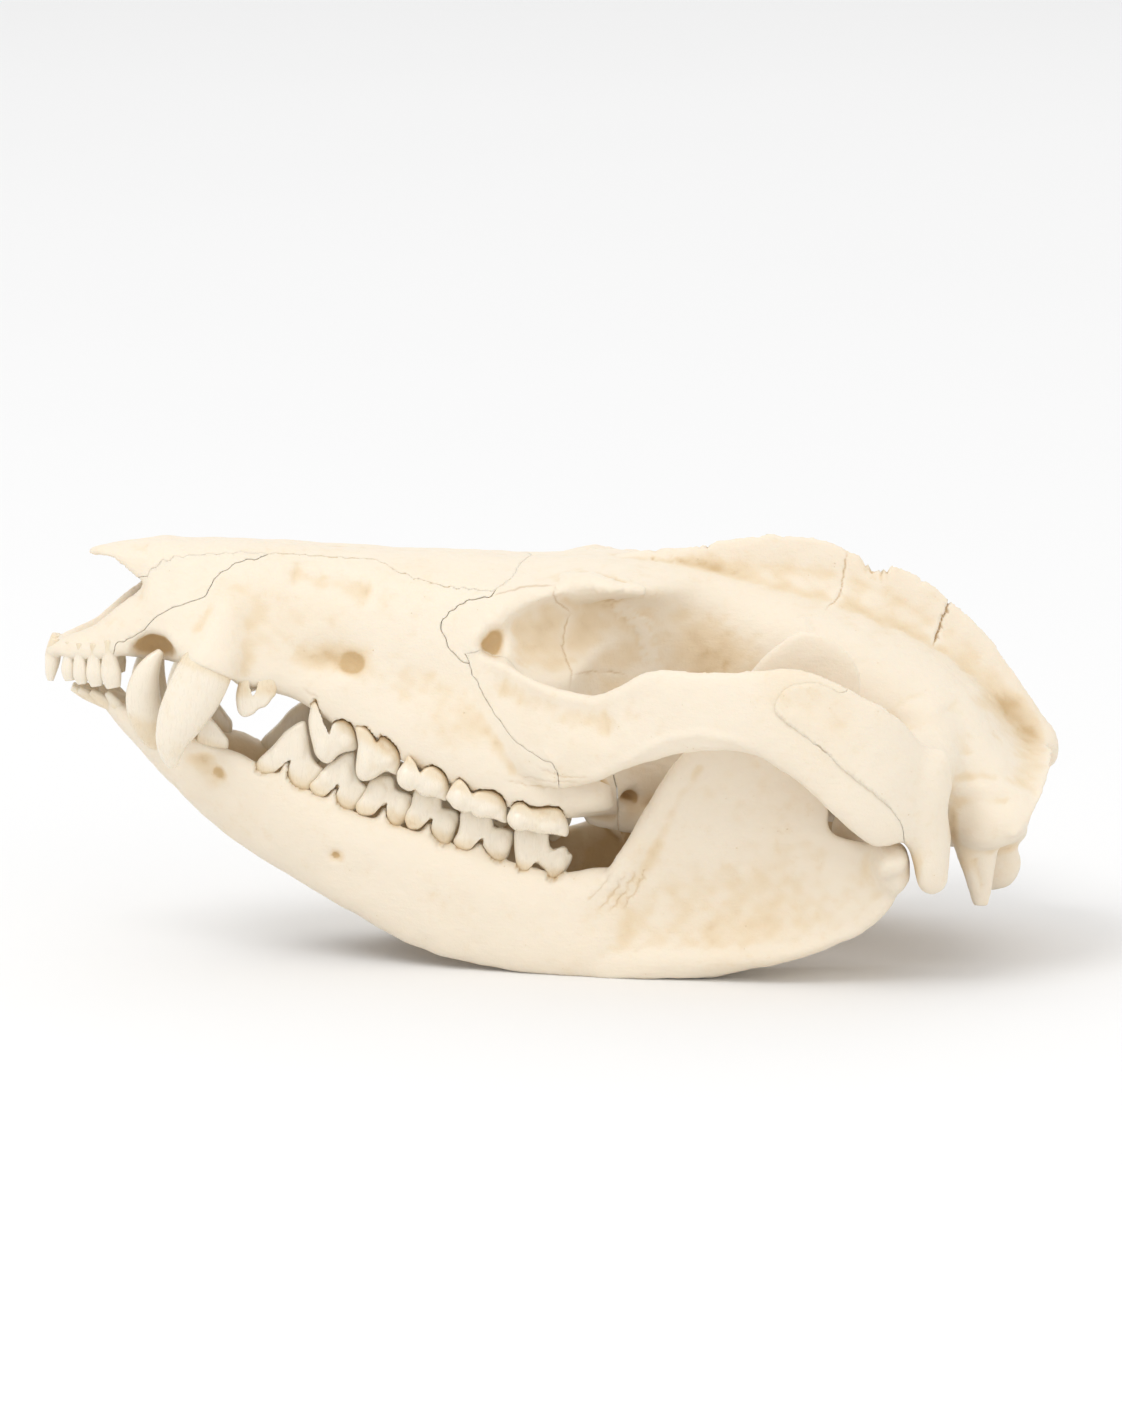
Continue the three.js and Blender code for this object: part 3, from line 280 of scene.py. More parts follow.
# Lines where bones meet, in the side view.
PREMAXILLA_SUTURE: Line = (
    (-56.6, 34.0), (-55.0, 41.2), (-53.2, 42.3), (-50.0, 45.0), (-46.3, 47.2), (-43.6, 48.2),
    (-42.0, 50.4), (-39.4, 51.9), (-35.6, 53.0), (-33.0, 60.0),
)
FACE_SUTURE: Line = (
    (-6.4, 62.0), (-7.2, 50.0), (-8.2, 47.8), (-10.8, 47.2), (-13.4, 45.5), (-14.2, 44.1),
    (-13.6, 42.2), (-11.7, 40.0), (-8.2, 38.8), (-5.0, 38.2), (-1.0, 34.6), (3.6, 29.6),
    (7.2, 26.0), (8.0, 14.0),
)
CHEEK_SUTURE: Line = (
    (-12.0, 46.0), (-11.1, 39.1), (-8.2, 33.4), (-5.3, 29.9), (-2.2, 27.9), (0.2, 26.4),
    (1.0, 18.0),
)
TEMPLE_SUTURE: Line = (
    (37.4, 44.0), (36.6, 36.1), (32.6, 36.8), (29.2, 36.4), (27.6, 34.2), (28.4, 32.8),
    (30.6, 31.2), (36.8, 26.0), (43.2, 19.4), (43.8, 10.0),
)

# The paired nasals seen from above: x, half width and how deep they reach into the roof.
NASAL_PLAN: Rows = (
    (-66.0, 0.1, 50.4),
    (-59.0, 2.2, 50.6),
    (-55.0, 4.4, 49.2),
    (-52.4, 5.3, 47.9),
    (-50.4, 5.3, 48.2),
    (-46.0, 5.0, 49.3),
    (-36.0, 4.6, 49.6),
    (-28.0, 4.8, 49.4),
    (-21.9, 5.3, 49.0),
    (-19.4, 7.3, 47.5),
    (-13.6, 10.1, 45.8),
    (-9.8, 11.3, 45.3),
    (-7.4, 11.8, 45.2),
    (-5.4, 9.3, 45.4),
    (-4.4, 5.6, 45.8),
    (-3.4, 2.1, 46.0),
    (-2.8, 0.1, 46.0),
)


@dataclass(frozen=True)
class SideView:
    """The side view that the tables are written in.

    Attributes:
        tilt: How far the view looks down, in radians.
        distance: From the eye to the midline, in mm.
        centre: Height in the view that the eye is level with.
        rest_offset: How far off the midline the jaw meets the floor.
        shift: Puts the middle of the length over the origin.
    """

    tilt: float = math.radians(10.0)
    distance: float = 1000.0
    centre: float = 34.6
    rest_offset: float = 17.0
    shift: float = 0.2

    def place(self, x: np.ndarray, v: np.ndarray, w: np.ndarray, side: int) -> np.ndarray:
        """Turns side-view places into true ones.

        Args:
            x: Along the skull.
            v: Up the view.
            w: Off the midline.
            side: LEFT or RIGHT.

        Returns:
            The true points in metres, one row each.
        """
        x, v, w = np.broadcast_arrays(*(np.asarray(a, float) for a in (x, v, w)))
        near = 1.0 - w / self.distance
        up = self.centre * (w - self.rest_offset) / self.distance + v * near
        z = (up + (w - self.rest_offset) * math.sin(self.tilt)) / math.cos(self.tilt)
        return np.stack([x * near + self.shift, side * w, z], axis=-1) * UNIT

    def flatten(self, points: np.ndarray) -> tuple[np.ndarray, np.ndarray, np.ndarray]:
        """Turns true points into side-view places.

        Args:
            points: True points in metres, one row each.

        Returns:
            The arrays x, v and w in mm.
        """
        x, y, z = (points / UNIT).T
        w = np.abs(y)
        near = 1.0 - w / self.distance
        up = z * math.cos(self.tilt) - (w - self.rest_offset) * math.sin(self.tilt)
        v = (up - self.centre * (w - self.rest_offset) / self.distance) / near
        return (x - self.shift) / near, v, w


VIEW = SideView()


def spline(a: np.ndarray, b: np.ndarray, c: np.ndarray, d: np.ndarray, f: np.ndarray) -> np.ndarray:
    """Catmull-Rom from b to c.

    Args:
        a: Values before b.
        b: Values at the start.
        c: Values at the end.
        d: Values after c.
        f: Share of the way, as a column.

    Returns:
        The values on the way.
    """
    m0 = (c - a) / 2
    m1 = (d - b) / 2
    f2 = f * f
    f3 = f2 * f
    start = (2 * f3 - 3 * f2 + 1) * b + (f3 - 2 * f2 + f) * m0
    return start + (3 * f2 - 2 * f3) * c + (f3 - f2) * m1


def between(rows: Sequence[Sequence[float]], t: np.ndarray) -> np.ndarray:
    """Smooth values between the rows of a table.

    Args:
        rows: The table.
        t: Places along it, from 0 to 1.

    Returns:
        One row of values for each place.
    """
    table = np.asarray(rows, float)
    last = len(table) - 1
    at = np.clip(np.atleast_1d(t), 0, 1) * last
    i = np.minimum(np.floor(at).astype(int), last - 1)
    a, b, c, d = (table[np.clip(i + k, 0, last)] for k in (-1, 0, 1, 2))
    return spline(a, b, c, d, (at - i)[:, None])


def ripple(points: np.ndarray, size: float, seed: int) -> np.ndarray:
    """A soft irregular height, the same at each run.

    Args:
        points: Places in mm, one row each.
        size: Rough size of a bump in mm.
        seed: Picks another pattern.

    Returns:
        Heights from about -1 to 1.
    """
    rng = np.random.default_rng(seed)
    total = np.zeros(len(points))
    waves = 9
    for _ in range(waves):
        direction = rng.normal(size=points.shape[1])
        direction *= rng.uniform(0.6, 1.5) * math.pi / (size * np.linalg.norm(direction))
        total += np.sin(points @ direction + rng.uniform(0, 2 * math.pi))
    return total / math.sqrt(waves)


def line_distance(x: np.ndarray, v: np.ndarray, line: Line) -> tuple[np.ndarray, np.ndarray]:
    """How far side-view places are from a line.

    Args:
        x: Along the skull.
        v: Up the view.
        line: Points of the line.

    Returns:
        The distances and the share of the line's length at each nearest point.
    """
    points = np.asarray(line, float)
    lengths = np.linalg.norm(np.diff(points, axis=0), axis=1)
    starts = np.concatenate([[0.0], np.cumsum(lengths)])
    best = np.full(len(x), np.inf)
    share = np.zeros(len(x))
    for k, length in enumerate(lengths):
        run = (points[k + 1] - points[k]) / length
        along = np.clip((x - points[k, 0]) * run[0] + (v - points[k, 1]) * run[1], 0, length)
        off = np.hypot(x - points[k, 0] - along * run[0], v - points[k, 1] - along * run[1])
        nearer = off < best
        best = np.where(nearer, off, best)
        share = np.where(nearer, (starts[k] + along) / starts[-1], share)
    return best, share


def alone(obj: bpy.types.Object) -> bpy.types.Object:
    """Deselects everything else and makes obj active."""
    bpy.ops.object.select_all(action="DESELECT")
    obj.select_set(True)
    bpy.context.view_layer.objects.active = obj
    return obj


def read_points(obj: bpy.types.Object) -> np.ndarray:
    """The vertices of obj in metres, one row each."""
    flat = np.empty(len(obj.data.vertices) * 3)
    obj.data.vertices.foreach_get("co", flat)
    return flat.reshape(-1, 3)


def write_points(obj: bpy.types.Object, points: np.ndarray) -> None:
    """Moves the vertices of obj to points."""
    obj.data.vertices.foreach_set("co", points.ravel())
    obj.data.update()


def read_normals(obj: bpy.types.Object) -> np.ndarray:
    """The vertex normals of obj, one row each."""
    flat = np.empty(len(obj.data.vertices) * 3)
    obj.data.vertex_normals.foreach_get("vector", flat)
    return flat.reshape(-1, 3)


def apply_modifier(obj: bpy.types.Object, kind: str, **settings: object) -> None:
    """Adds one modifier to obj and applies it.

    Args:
        obj: The mesh object.
        kind: The modifier's type.
        settings: Its settings by name.
    """
    alone(obj)
    modifier = obj.modifiers.new(kind.lower(), kind)
    for name, value in settings.items():
        setattr(modifier, name, value)
    bpy.ops.object.modifier_apply(modifier=modifier.name)


class Cut(Enum):
    """What a boolean keeps."""

    AWAY = "DIFFERENCE"
    SHARED = "INTERSECT"


def carve(
    obj: bpy.types.Object,
    tool: bpy.types.Object,
    cut: Cut = Cut.AWAY,
    keep_tool: bool = False,
) -> None:
    """Cuts obj by tool.

    Args:
        obj: The mesh object that is cut.
        tool: The cutting body.
        cut: What is kept.
        keep_tool: Whether the tool is used again.
    """
    apply_modifier(obj, "BOOLEAN", object=tool, operation=cut.value, solver="MANIFOLD")
    if not keep_tool:
        bpy.data.objects.remove(tool)


def fuse(objs: Sequence[bpy.types.Object], name: str) -> bpy.types.Object:
    """Joins mesh objects into one.

    Args:
        objs: The objects, of which the first one stays.
        name: The new name.

    Returns:
        The joined object.
    """
    alone(objs[0])
    for obj in objs:
        obj.select_set(True)
    bpy.ops.object.join()
    objs[0].name = name
    objs[0].data.name = name
    return objs[0]


def grow_together(obj: bpy.types.Object, grain: float, rounds: int) -> None:
    """Makes overlapping bodies one smooth closed skin.

    Args:
        obj: The joined bodies.
        grain: Size of a face in mm.
        rounds: How many times the skin is smoothed.
    """
    apply_modifier(obj, "REMESH", mode="VOXEL", voxel_size=grain * UNIT, use_smooth_shade=True)
    apply_modifier(obj, "SMOOTH", factor=0.5, iterations=rounds)


def outward(obj: bpy.types.Object) -> bpy.types.Object:
    """Turns the faces of obj outwards."""
    alone(obj)
    bpy.ops.object.mode_set(mode="EDIT")
    bpy.ops.mesh.select_all(action="SELECT")
    bpy.ops.mesh.normals_make_consistent(inside=False)
    bpy.ops.object.mode_set(mode="OBJECT")
    return obj


def loft(name: str, steps: int, sides: int, wall: Wall) -> bpy.types.Object:
    """A closed body: a sphere whose rings are moved to the sections of a wall.

    Args:
        name: Name of the new object.
        steps: Sections along the body.
        sides: Points round a section.
        wall: Gives true points for shares along the body and angles round it.

    Returns:
        The new mesh object.
    """
    rings = steps + 2
    bpy.ops.mesh.primitive_uv_sphere_add(segments=sides, ring_count=rings, radius=1.0)
    obj = bpy.context.object
    obj.name = name
    ball = read_points(obj)
    ring = np.rint(np.arccos(np.clip(ball[:, 2], -1, 1)) * rings / math.pi)
    t = np.clip((ring - 1) / steps, 0, 1)
    points = wall(t, np.arctan2(ball[:, 1], ball[:, 0]))
    for end, pole in ((0.0, ring == 0), (1.0, ring == rings)):
        points[pole] = points[(t == end) & ~pole].mean(axis=0)
    write_points(obj, points)
    return outward(obj)


def ribbon(
    name: str,
    rows: Rows,
    steps: int,
    sides: int,
    side: int = LEFT,
    square: float = 0.75,
) -> bpy.types.Object:
    """A flat bone along its table of low and high edges.

    Args:
        name: Name of the new object.
        rows: The table.
        steps: Sections along the bone.
        sides: Points round a section.
        side: LEFT or RIGHT.
        square: Below 1 gives a section with flatter faces.

    Returns:
        The new mesh object.
    """

    def power(value: np.ndarray) -> np.ndarray:
        """Swells a sine towards a square."""
        return np.sign(value) * np.abs(value) ** square

    def wall(t: np.ndarray, angle: np.ndarray) -> np.ndarray:
        """The section at t."""
        x0, v0, w0, x1, v1, w1, thick0, thick1, bow = between(rows, t).T
        h = (1 + power(np.cos(angle))) / 2
        off = power(np.sin(angle)) * (thick0 + (thick1 - thick0) * h) / 2
        w = w0 + (w1 - w0) * h - bow * np.sin(math.pi * h) + off
        return VIEW.place(x0 + (x1 - x0) * h, v0 + (v1 - v0) * h, w, side)

    return loft(name, steps, sides, wall)


def rod(name: str, rows: Rows, steps: int, sides: int, side: int = LEFT) -> bpy.types.Object:
    """A tapered rod along a table of x, v, w and its half breadths in and across the side view.

    Args:
        name: Name of the new object.
        rows: The table.
        steps: Sections along the rod.
        sides: Points round a section.
        side: LEFT or RIGHT.

    Returns:
        The new mesh object.
    """
    reach = 0.02

    def wall(t: np.ndarray, angle: np.ndarray) -> np.ndarray:
        """The section at t."""
        x, v, w, a, b = between(rows, t).T
        along = between(rows, t + reach)[:, :2] - between(rows, t - reach)[:, :2]
        along /= np.linalg.norm(along, axis=1)[:, None]
        off = a * np.cos(angle)
        return VIEW.place(x - along[:, 1] * off, v + along[:, 0] * off, w + b * np.sin(angle), side)

    return loft(name, steps, sides, wall)


def crossbar(name: str, rows: Rows, steps: int, sides: int, side: int = LEFT) -> bpy.types.Object:
    """A round root that runs sideways, from a table of x, v, w, half length and half height.

    Args:
        name: Name of the new object.
        rows: The table.
        steps: Sections along the root.
        sides: Points round a section.
        side: LEFT or RIGHT.

    Returns:
        The new mesh object.
    """

    def wall(t: np.ndarray, angle: np.ndarray) -> np.ndarray:
        """The section at t."""
        x, v, w, a, b = between(rows, t).T
        return VIEW.place(x + a * np.cos(angle), v + b * np.sin(angle), w, side)

    return loft(name, steps, sides, wall)


def cushion(name: str, outline: Line, w: float, half: float, side: int) -> bpy.types.Object:
    """A rounded body with an outline of the side view.

    Args:
        name: Name of the new object.
        outline: Its points as x and v.
        w: Distance of its middle off the midline.
        half: Half its breadth.
        side: LEFT or RIGHT.

    Returns:
        The new mesh object.
    """
    table = np.asarray(outline)
    count = len(table)
    centre = table.mean(axis=0)
    edge, roundness = 0.3, 2.8

    def wall(t: np.ndarray, angle: np.ndarray) -> np.ndarray:
        """The section at t."""
        at = (angle / (2 * math.pi)) % 1 * count
        i = np.floor(at).astype(int)
        flat = spline(*(table[(i + k) % count] for k in (-1, 0, 1, 2)), (at - i)[:, None])
        off = 2 * t - 1
        full = edge + (1 - edge) * (1 - np.abs(off) ** roundness) ** (1 / roundness)
        x, v = (centre + (flat - centre) * full[:, None]).T
        return VIEW.place(x, v, w + half * off, side)

    return loft(name, 10, 4 * count, wall)


@dataclass(frozen=True)
class Bulb:
    """An ellipsoid at a side-view place.

    Attributes:
        at: Its middle as x, v and w.
        radii: Half sizes along x, y and z in mm.
        turn: How far it is turned in the side view, in radians.
        swing: How far it is turned seen from above, in radians, its rear end towards the midline.
    """

    at: Place
    radii: Place
    turn: float = 0.0
    swing: float = 0.0

    def make(self, name: str, side: int = LEFT, grown: float = 0.0) -> bpy.types.Object:
        """Builds the ellipsoid.

        Args:
            name: Name of the new object.
            side: LEFT or RIGHT.
            grown: Added to each half size, in mm.

        Returns:
            The new mesh object.
        """
        segments = 40
        middle = VIEW.place(*self.at, side)
        bpy.ops.mesh.primitive_uv_sphere_add(segments=segments, ring_count=segments // 2, radius=UNIT)
        obj = alone(bpy.context.object)
        obj.name = name
        bpy.ops.object.mode_set(mode="EDIT")
        bpy.ops.mesh.select_all(action="SELECT")
        bpy.ops.transform.resize(value=[radius + grown for radius in self.radii])
        bpy.ops.object.mode_set(mode="OBJECT")
        points = read_points(obj)
        x, y, z = points.T
        c, s = math.cos(self.turn), math.sin(self.turn)
        x, z = c * x + s * z, c * z - s * x
        c, s = math.cos(side * self.swing), math.sin(side * self.swing)
        x, y = c * x + s * y, c * y - s * x
        write_points(obj, np.stack([x, y, z], axis=1) + middle)
        return obj


@dataclass(frozen=True)
class Stroke:
    """A ridge, or a groove where height is below zero, along a line of the side view.

    Attributes:
        line: Its points as x and v.
        height: In mm.
        width: Half width in mm.
        reach: The range of w that it shows in.
        wander: How far it strays from the line, in mm.
        dark: How brown it is painted, from 0 to 1.
    """

    line: Line
    height: float
    width: float
    reach: tuple[float, float] = (0.0, 99.0)
    wander: float = 0.0
    dark: float = 0.5

    def lift(self, x: np.ndarray, v: np.ndarray, w: np.ndarray) -> np.ndarray:
        """The height that the stroke adds at side-view places, in mm."""
        return self.height * self.cover(x, v, w)

    def cover(self, x: np.ndarray, v: np.ndarray, w: np.ndarray) -> np.ndarray:
        """How much of the stroke is felt at side-view places, from 0 to 1."""
        points = np.asarray(self.line)
        low = points.min(axis=0) - 3 * self.width - self.wander
        high = points.max(axis=0) + 3 * self.width + self.wander
        inside = (x > low[0]) & (x < high[0]) & (v > low[1]) & (v < high[1])
        inside &= (w > self.reach[0]) & (w < self.reach[1])
        felt = np.zeros(len(x))
        if not inside.any():
            return felt
        flat = np.stack([x[inside], v[inside]], axis=1)
        stray = self.wander * ripple(flat, 0.7, 5)
        stray_up = self.wander * ripple(flat, 0.7, 6)
        off, share = line_distance(flat[:, 0] + stray, flat[:, 1] + stray_up, self.line)
        fade = np.clip(np.minimum(share, 1 - share) * 8, 0.25, 1)
        felt[inside] = fade * np.exp(-((off / self.width) ** 2))
        return felt


@dataclass(frozen=True)
class Patch:
    """A soft spot round a side-view place, for a dent, a swelling or a stain.

    Attributes:
        at: Its middle as x, v and w.
        size: Half sizes along x, v and w in mm.
        height: What it adds, in mm or as a share of stain.
    """

    at: Place
    size: Place
    height: float

    def lift(self, x: np.ndarray, v: np.ndarray, w: np.ndarray) -> np.ndarray:
        """What the patch adds at side-view places."""
        off = sum(((a - m) / s) ** 2 for a, m, s in zip((x, v, w), self.at, self.size))
        return self.height * np.exp(-off)


@dataclass(frozen=True)
class Unevenness:
    """Soft irregular waves over a whole skin.

    Attributes:
        size: Rough size of a wave in mm.
        height: In mm.
        seed: Picks the pattern.
    """

    size: float
    height: float
    seed: int

    def lift(self, x: np.ndarray, v: np.ndarray, w: np.ndarray) -> np.ndarray:
        """The height that the waves add at side-view places, in mm."""
        return self.height * ripple(np.stack([x, v, w], axis=1), self.size, self.seed)


Relief = Stroke | Patch | Unevenness
WEATHERED: tuple[Unevenness, ...] = (
    Unevenness(7.0, 0.10, 31),
    Unevenness(2.6, 0.05, 32),
    Unevenness(1.0, 0.018, 33),
)


def sculpt(obj: bpy.types.Object, relief: Sequence[Relief]) -> None:
    """Raises and sinks the skin of obj along its normals.

    Args:
        obj: The mesh object.
        relief: The strokes, patches and waves.
    """
    points = read_points(obj)
    x, v, w = VIEW.flatten(points)
    height = sum(form.lift(x, v, w) for form in relief)
    write_points(obj, points + read_normals(obj) * (height * UNIT)[:, None])


def refine(obj: bpy.types.Object, strokes: Sequence[Stroke], reach: float) -> None:
    """Divides the faces near fine strokes.

    Args:
        obj: The mesh object.
        strokes: The lines.
        reach: How far from a line, in mm.
    """
    x, v, w = VIEW.flatten(read_points(obj))
    near = np.zeros(len(x), bool)
    for stroke in strokes:
        off, _ = line_distance(x, v, stroke.line)
        near |= (off < reach + stroke.wander) & (w > stroke.reach[0]) & (w < stroke.reach[1])
    alone(obj)
    bpy.ops.object.mode_set(mode="EDIT")
    bpy.ops.mesh.select_all(action="DESELECT")
    bpy.ops.mesh.select_mode(type="VERT")
    bpy.ops.object.mode_set(mode="OBJECT")
    obj.data.vertices.foreach_set("select", near)
    bpy.ops.object.mode_set(mode="EDIT")
    bpy.ops.mesh.subdivide(number_cuts=1, smoothness=0.0)
    bpy.ops.object.mode_set(mode="OBJECT")


def neighbour_mean(obj: bpy.types.Object) -> Callable[[np.ndarray], np.ndarray]:
    """Makes the function that gives each vertex the middle of its neighbours.

    Args:
        obj: The mesh object, whose edges tell who is whose neighbour.

    Returns:
        The function, from one array of places to the next.
    """
    count = len(obj.data.vertices)
    pairs = np.empty(2 * len(obj.data.edges), np.int32)
    obj.data.edges.foreach_get("vertices", pairs)
    first, second = pairs.reshape(-1, 2).T
    valence = np.maximum(np.bincount(pairs, minlength=count), 1)[:, None]

    def gathered(values: np.ndarray) -> np.ndarray:
        """The sum of the neighbours' values at each vertex."""
        return np.bincount(first, values[second], count) + np.bincount(second, values[first], count)

    def mean(points: np.ndarray) -> np.ndarray:
        """The middle of each vertex's neighbours."""
        return np.stack([gathered(column) for column in points.T], axis=1) / valence

    return mean


def soften(obj: bpy.types.Object, spots: Sequence[Patch], rounds: int = 40) -> None:
    """Smooths the skin at a few spots, where joined forms should flow together.

    Args:
        obj: The mesh object.
        spots: Where it is smoothed.
        rounds: How often each point moves to the middle of its neighbours.
    """
    points = read_points(obj)
    x, v, w = VIEW.flatten(points)
    share = np.clip(sum(spot.lift(x, v, w) for spot in spots), 0, 1)[:, None]
    mean = neighbour_mean(obj)
    for _ in range(rounds):
        points = points + share * (mean(points) - points)
    write_points(obj, points)


def hollowness(obj: bpy.types.Object, rounds: int) -> np.ndarray:
    """How hollow the skin is at each vertex.

    Args:
        obj: The mesh object.
        rounds: Wider neighbourhoods take more rounds.

    Returns:
        Millimetres below the smoothed skin, above zero in a hollow.
    """
    points = read_points(obj)
    mean = neighbour_mean(obj)
    soft = points
    for _ in range(rounds):
        soft = mean(soft)
    return np.einsum("ij,ij->i", soft - points, read_normals(obj)) / UNIT


def paint(obj: bpy.types.Object, name: str, values: np.ndarray) -> None:
    """Stores a value from 0 to 1 at each vertex, for the finish to read.

    Args:
        obj: The mesh object.
        name: Name of the attribute.
        values: One value for each vertex.
    """
    attribute = obj.data.attributes.new(name, "FLOAT", "POINT")
    attribute.data.foreach_set("value", np.clip(values, 0, 1).astype(np.float32))


def split_loose(obj: bpy.types.Object) -> list[bpy.types.Object]:
    """Parts obj into its separate bodies.

    Args:
        obj: The mesh object.

    Returns:
        The bodies, obj itself among them.
    """
    alone(obj)
    before = set(bpy.data.objects)
    bpy.ops.object.mode_set(mode="EDIT")
    bpy.ops.mesh.select_all(action="SELECT")
    bpy.ops.mesh.separate(type="LOOSE")
    bpy.ops.object.mode_set(mode="OBJECT")
    return [obj, *(o for o in bpy.data.objects if o not in before)]


def body_at(bodies: list[bpy.types.Object], at: Place, side: int = LEFT) -> bpy.types.Object:
    """Takes the body whose skin is nearest to a side-view place out of a list.

    Args:
        bodies: The list.
        at: The place as x, v and w.
        side: LEFT or RIGHT.

    Returns:
        The body that was taken.
    """
    target = VIEW.place(*at, side)
    nearest = min(bodies, key=lambda o: np.linalg.norm(read_points(o) - target, axis=1).min())
    bodies.remove(nearest)
    return nearest


def discard(objs: Sequence[bpy.types.Object]) -> None:
    """Removes objects that are no longer needed."""
    for obj in objs:
        bpy.data.objects.remove(obj)


@dataclass(frozen=True)
class Seam:
    """A thin wandering wall where two bones meet.

    Attributes:
        line: Its points in the side view.
        w: The distance off the midline that the line is drawn at.
        reach: The wall's near and far distance off the midline, on its own side.
        wander: How far it zigzags, in mm.
        seed: Picks the zigzag.
    """

    line: Line
    w: float
    reach: tuple[float, float]
    wander: float
    seed: int

    def make(self, side: int = LEFT, shift: float = 0.0, gap: float = SUTURE_GAP) -> bpy.types.Object:
        """Builds the wall.

        Args:
            side: LEFT or RIGHT.
            shift: How far the wall is moved across its line, in mm.
            gap: The wall's thickness in mm.

        Returns:
            The new mesh object.
        """
        step = 0.45
        line = np.asarray(self.line)
        length = np.linalg.norm(np.diff(line, axis=0), axis=1).sum()
        count = int(length / step)
        flat = between(self.line, np.linspace(0, 1, count))
        across = np.gradient(flat, axis=0)
        length = np.linalg.norm(across, axis=1)[:, None]
        across = np.stack([-across[:, 1], across[:, 0]], axis=1) / length
        stray = self.wander * ripple(flat, 0.9, self.seed) + shift
        flat = flat + across * stray[:, None]
        true = VIEW.place(flat[:, 0], flat[:, 1], self.w, side)
        bpy.ops.mesh.primitive_grid_add(x_subdivisions=count - 1, y_subdivisions=1, size=2.0)
        obj = bpy.context.object
        grid = read_points(obj)
        column = np.rint((grid[:, 0] + 1) / 2 * (count - 1)).astype(int)
        near, far = (side * distance * UNIT for distance in self.reach)
        y = np.where(grid[:, 1] < 0, near, far)
        write_points(obj, np.stack([true[column, 0], y, true[column, 2]], axis=1))
        apply_modifier(obj, "SOLIDIFY", thickness=gap * UNIT, offset=0.0)
        return outward(obj)


@dataclass(frozen=True)
class Tone:
    """A colour of the bone, as red, green and blue from 0 to 1."""

    red: float
    green: float
    blue: float

    def rgba(self) -> tuple[float, float, float, float]:
        """The colour as a socket takes it."""
        return (self.red, self.green, self.blue, 1.0)


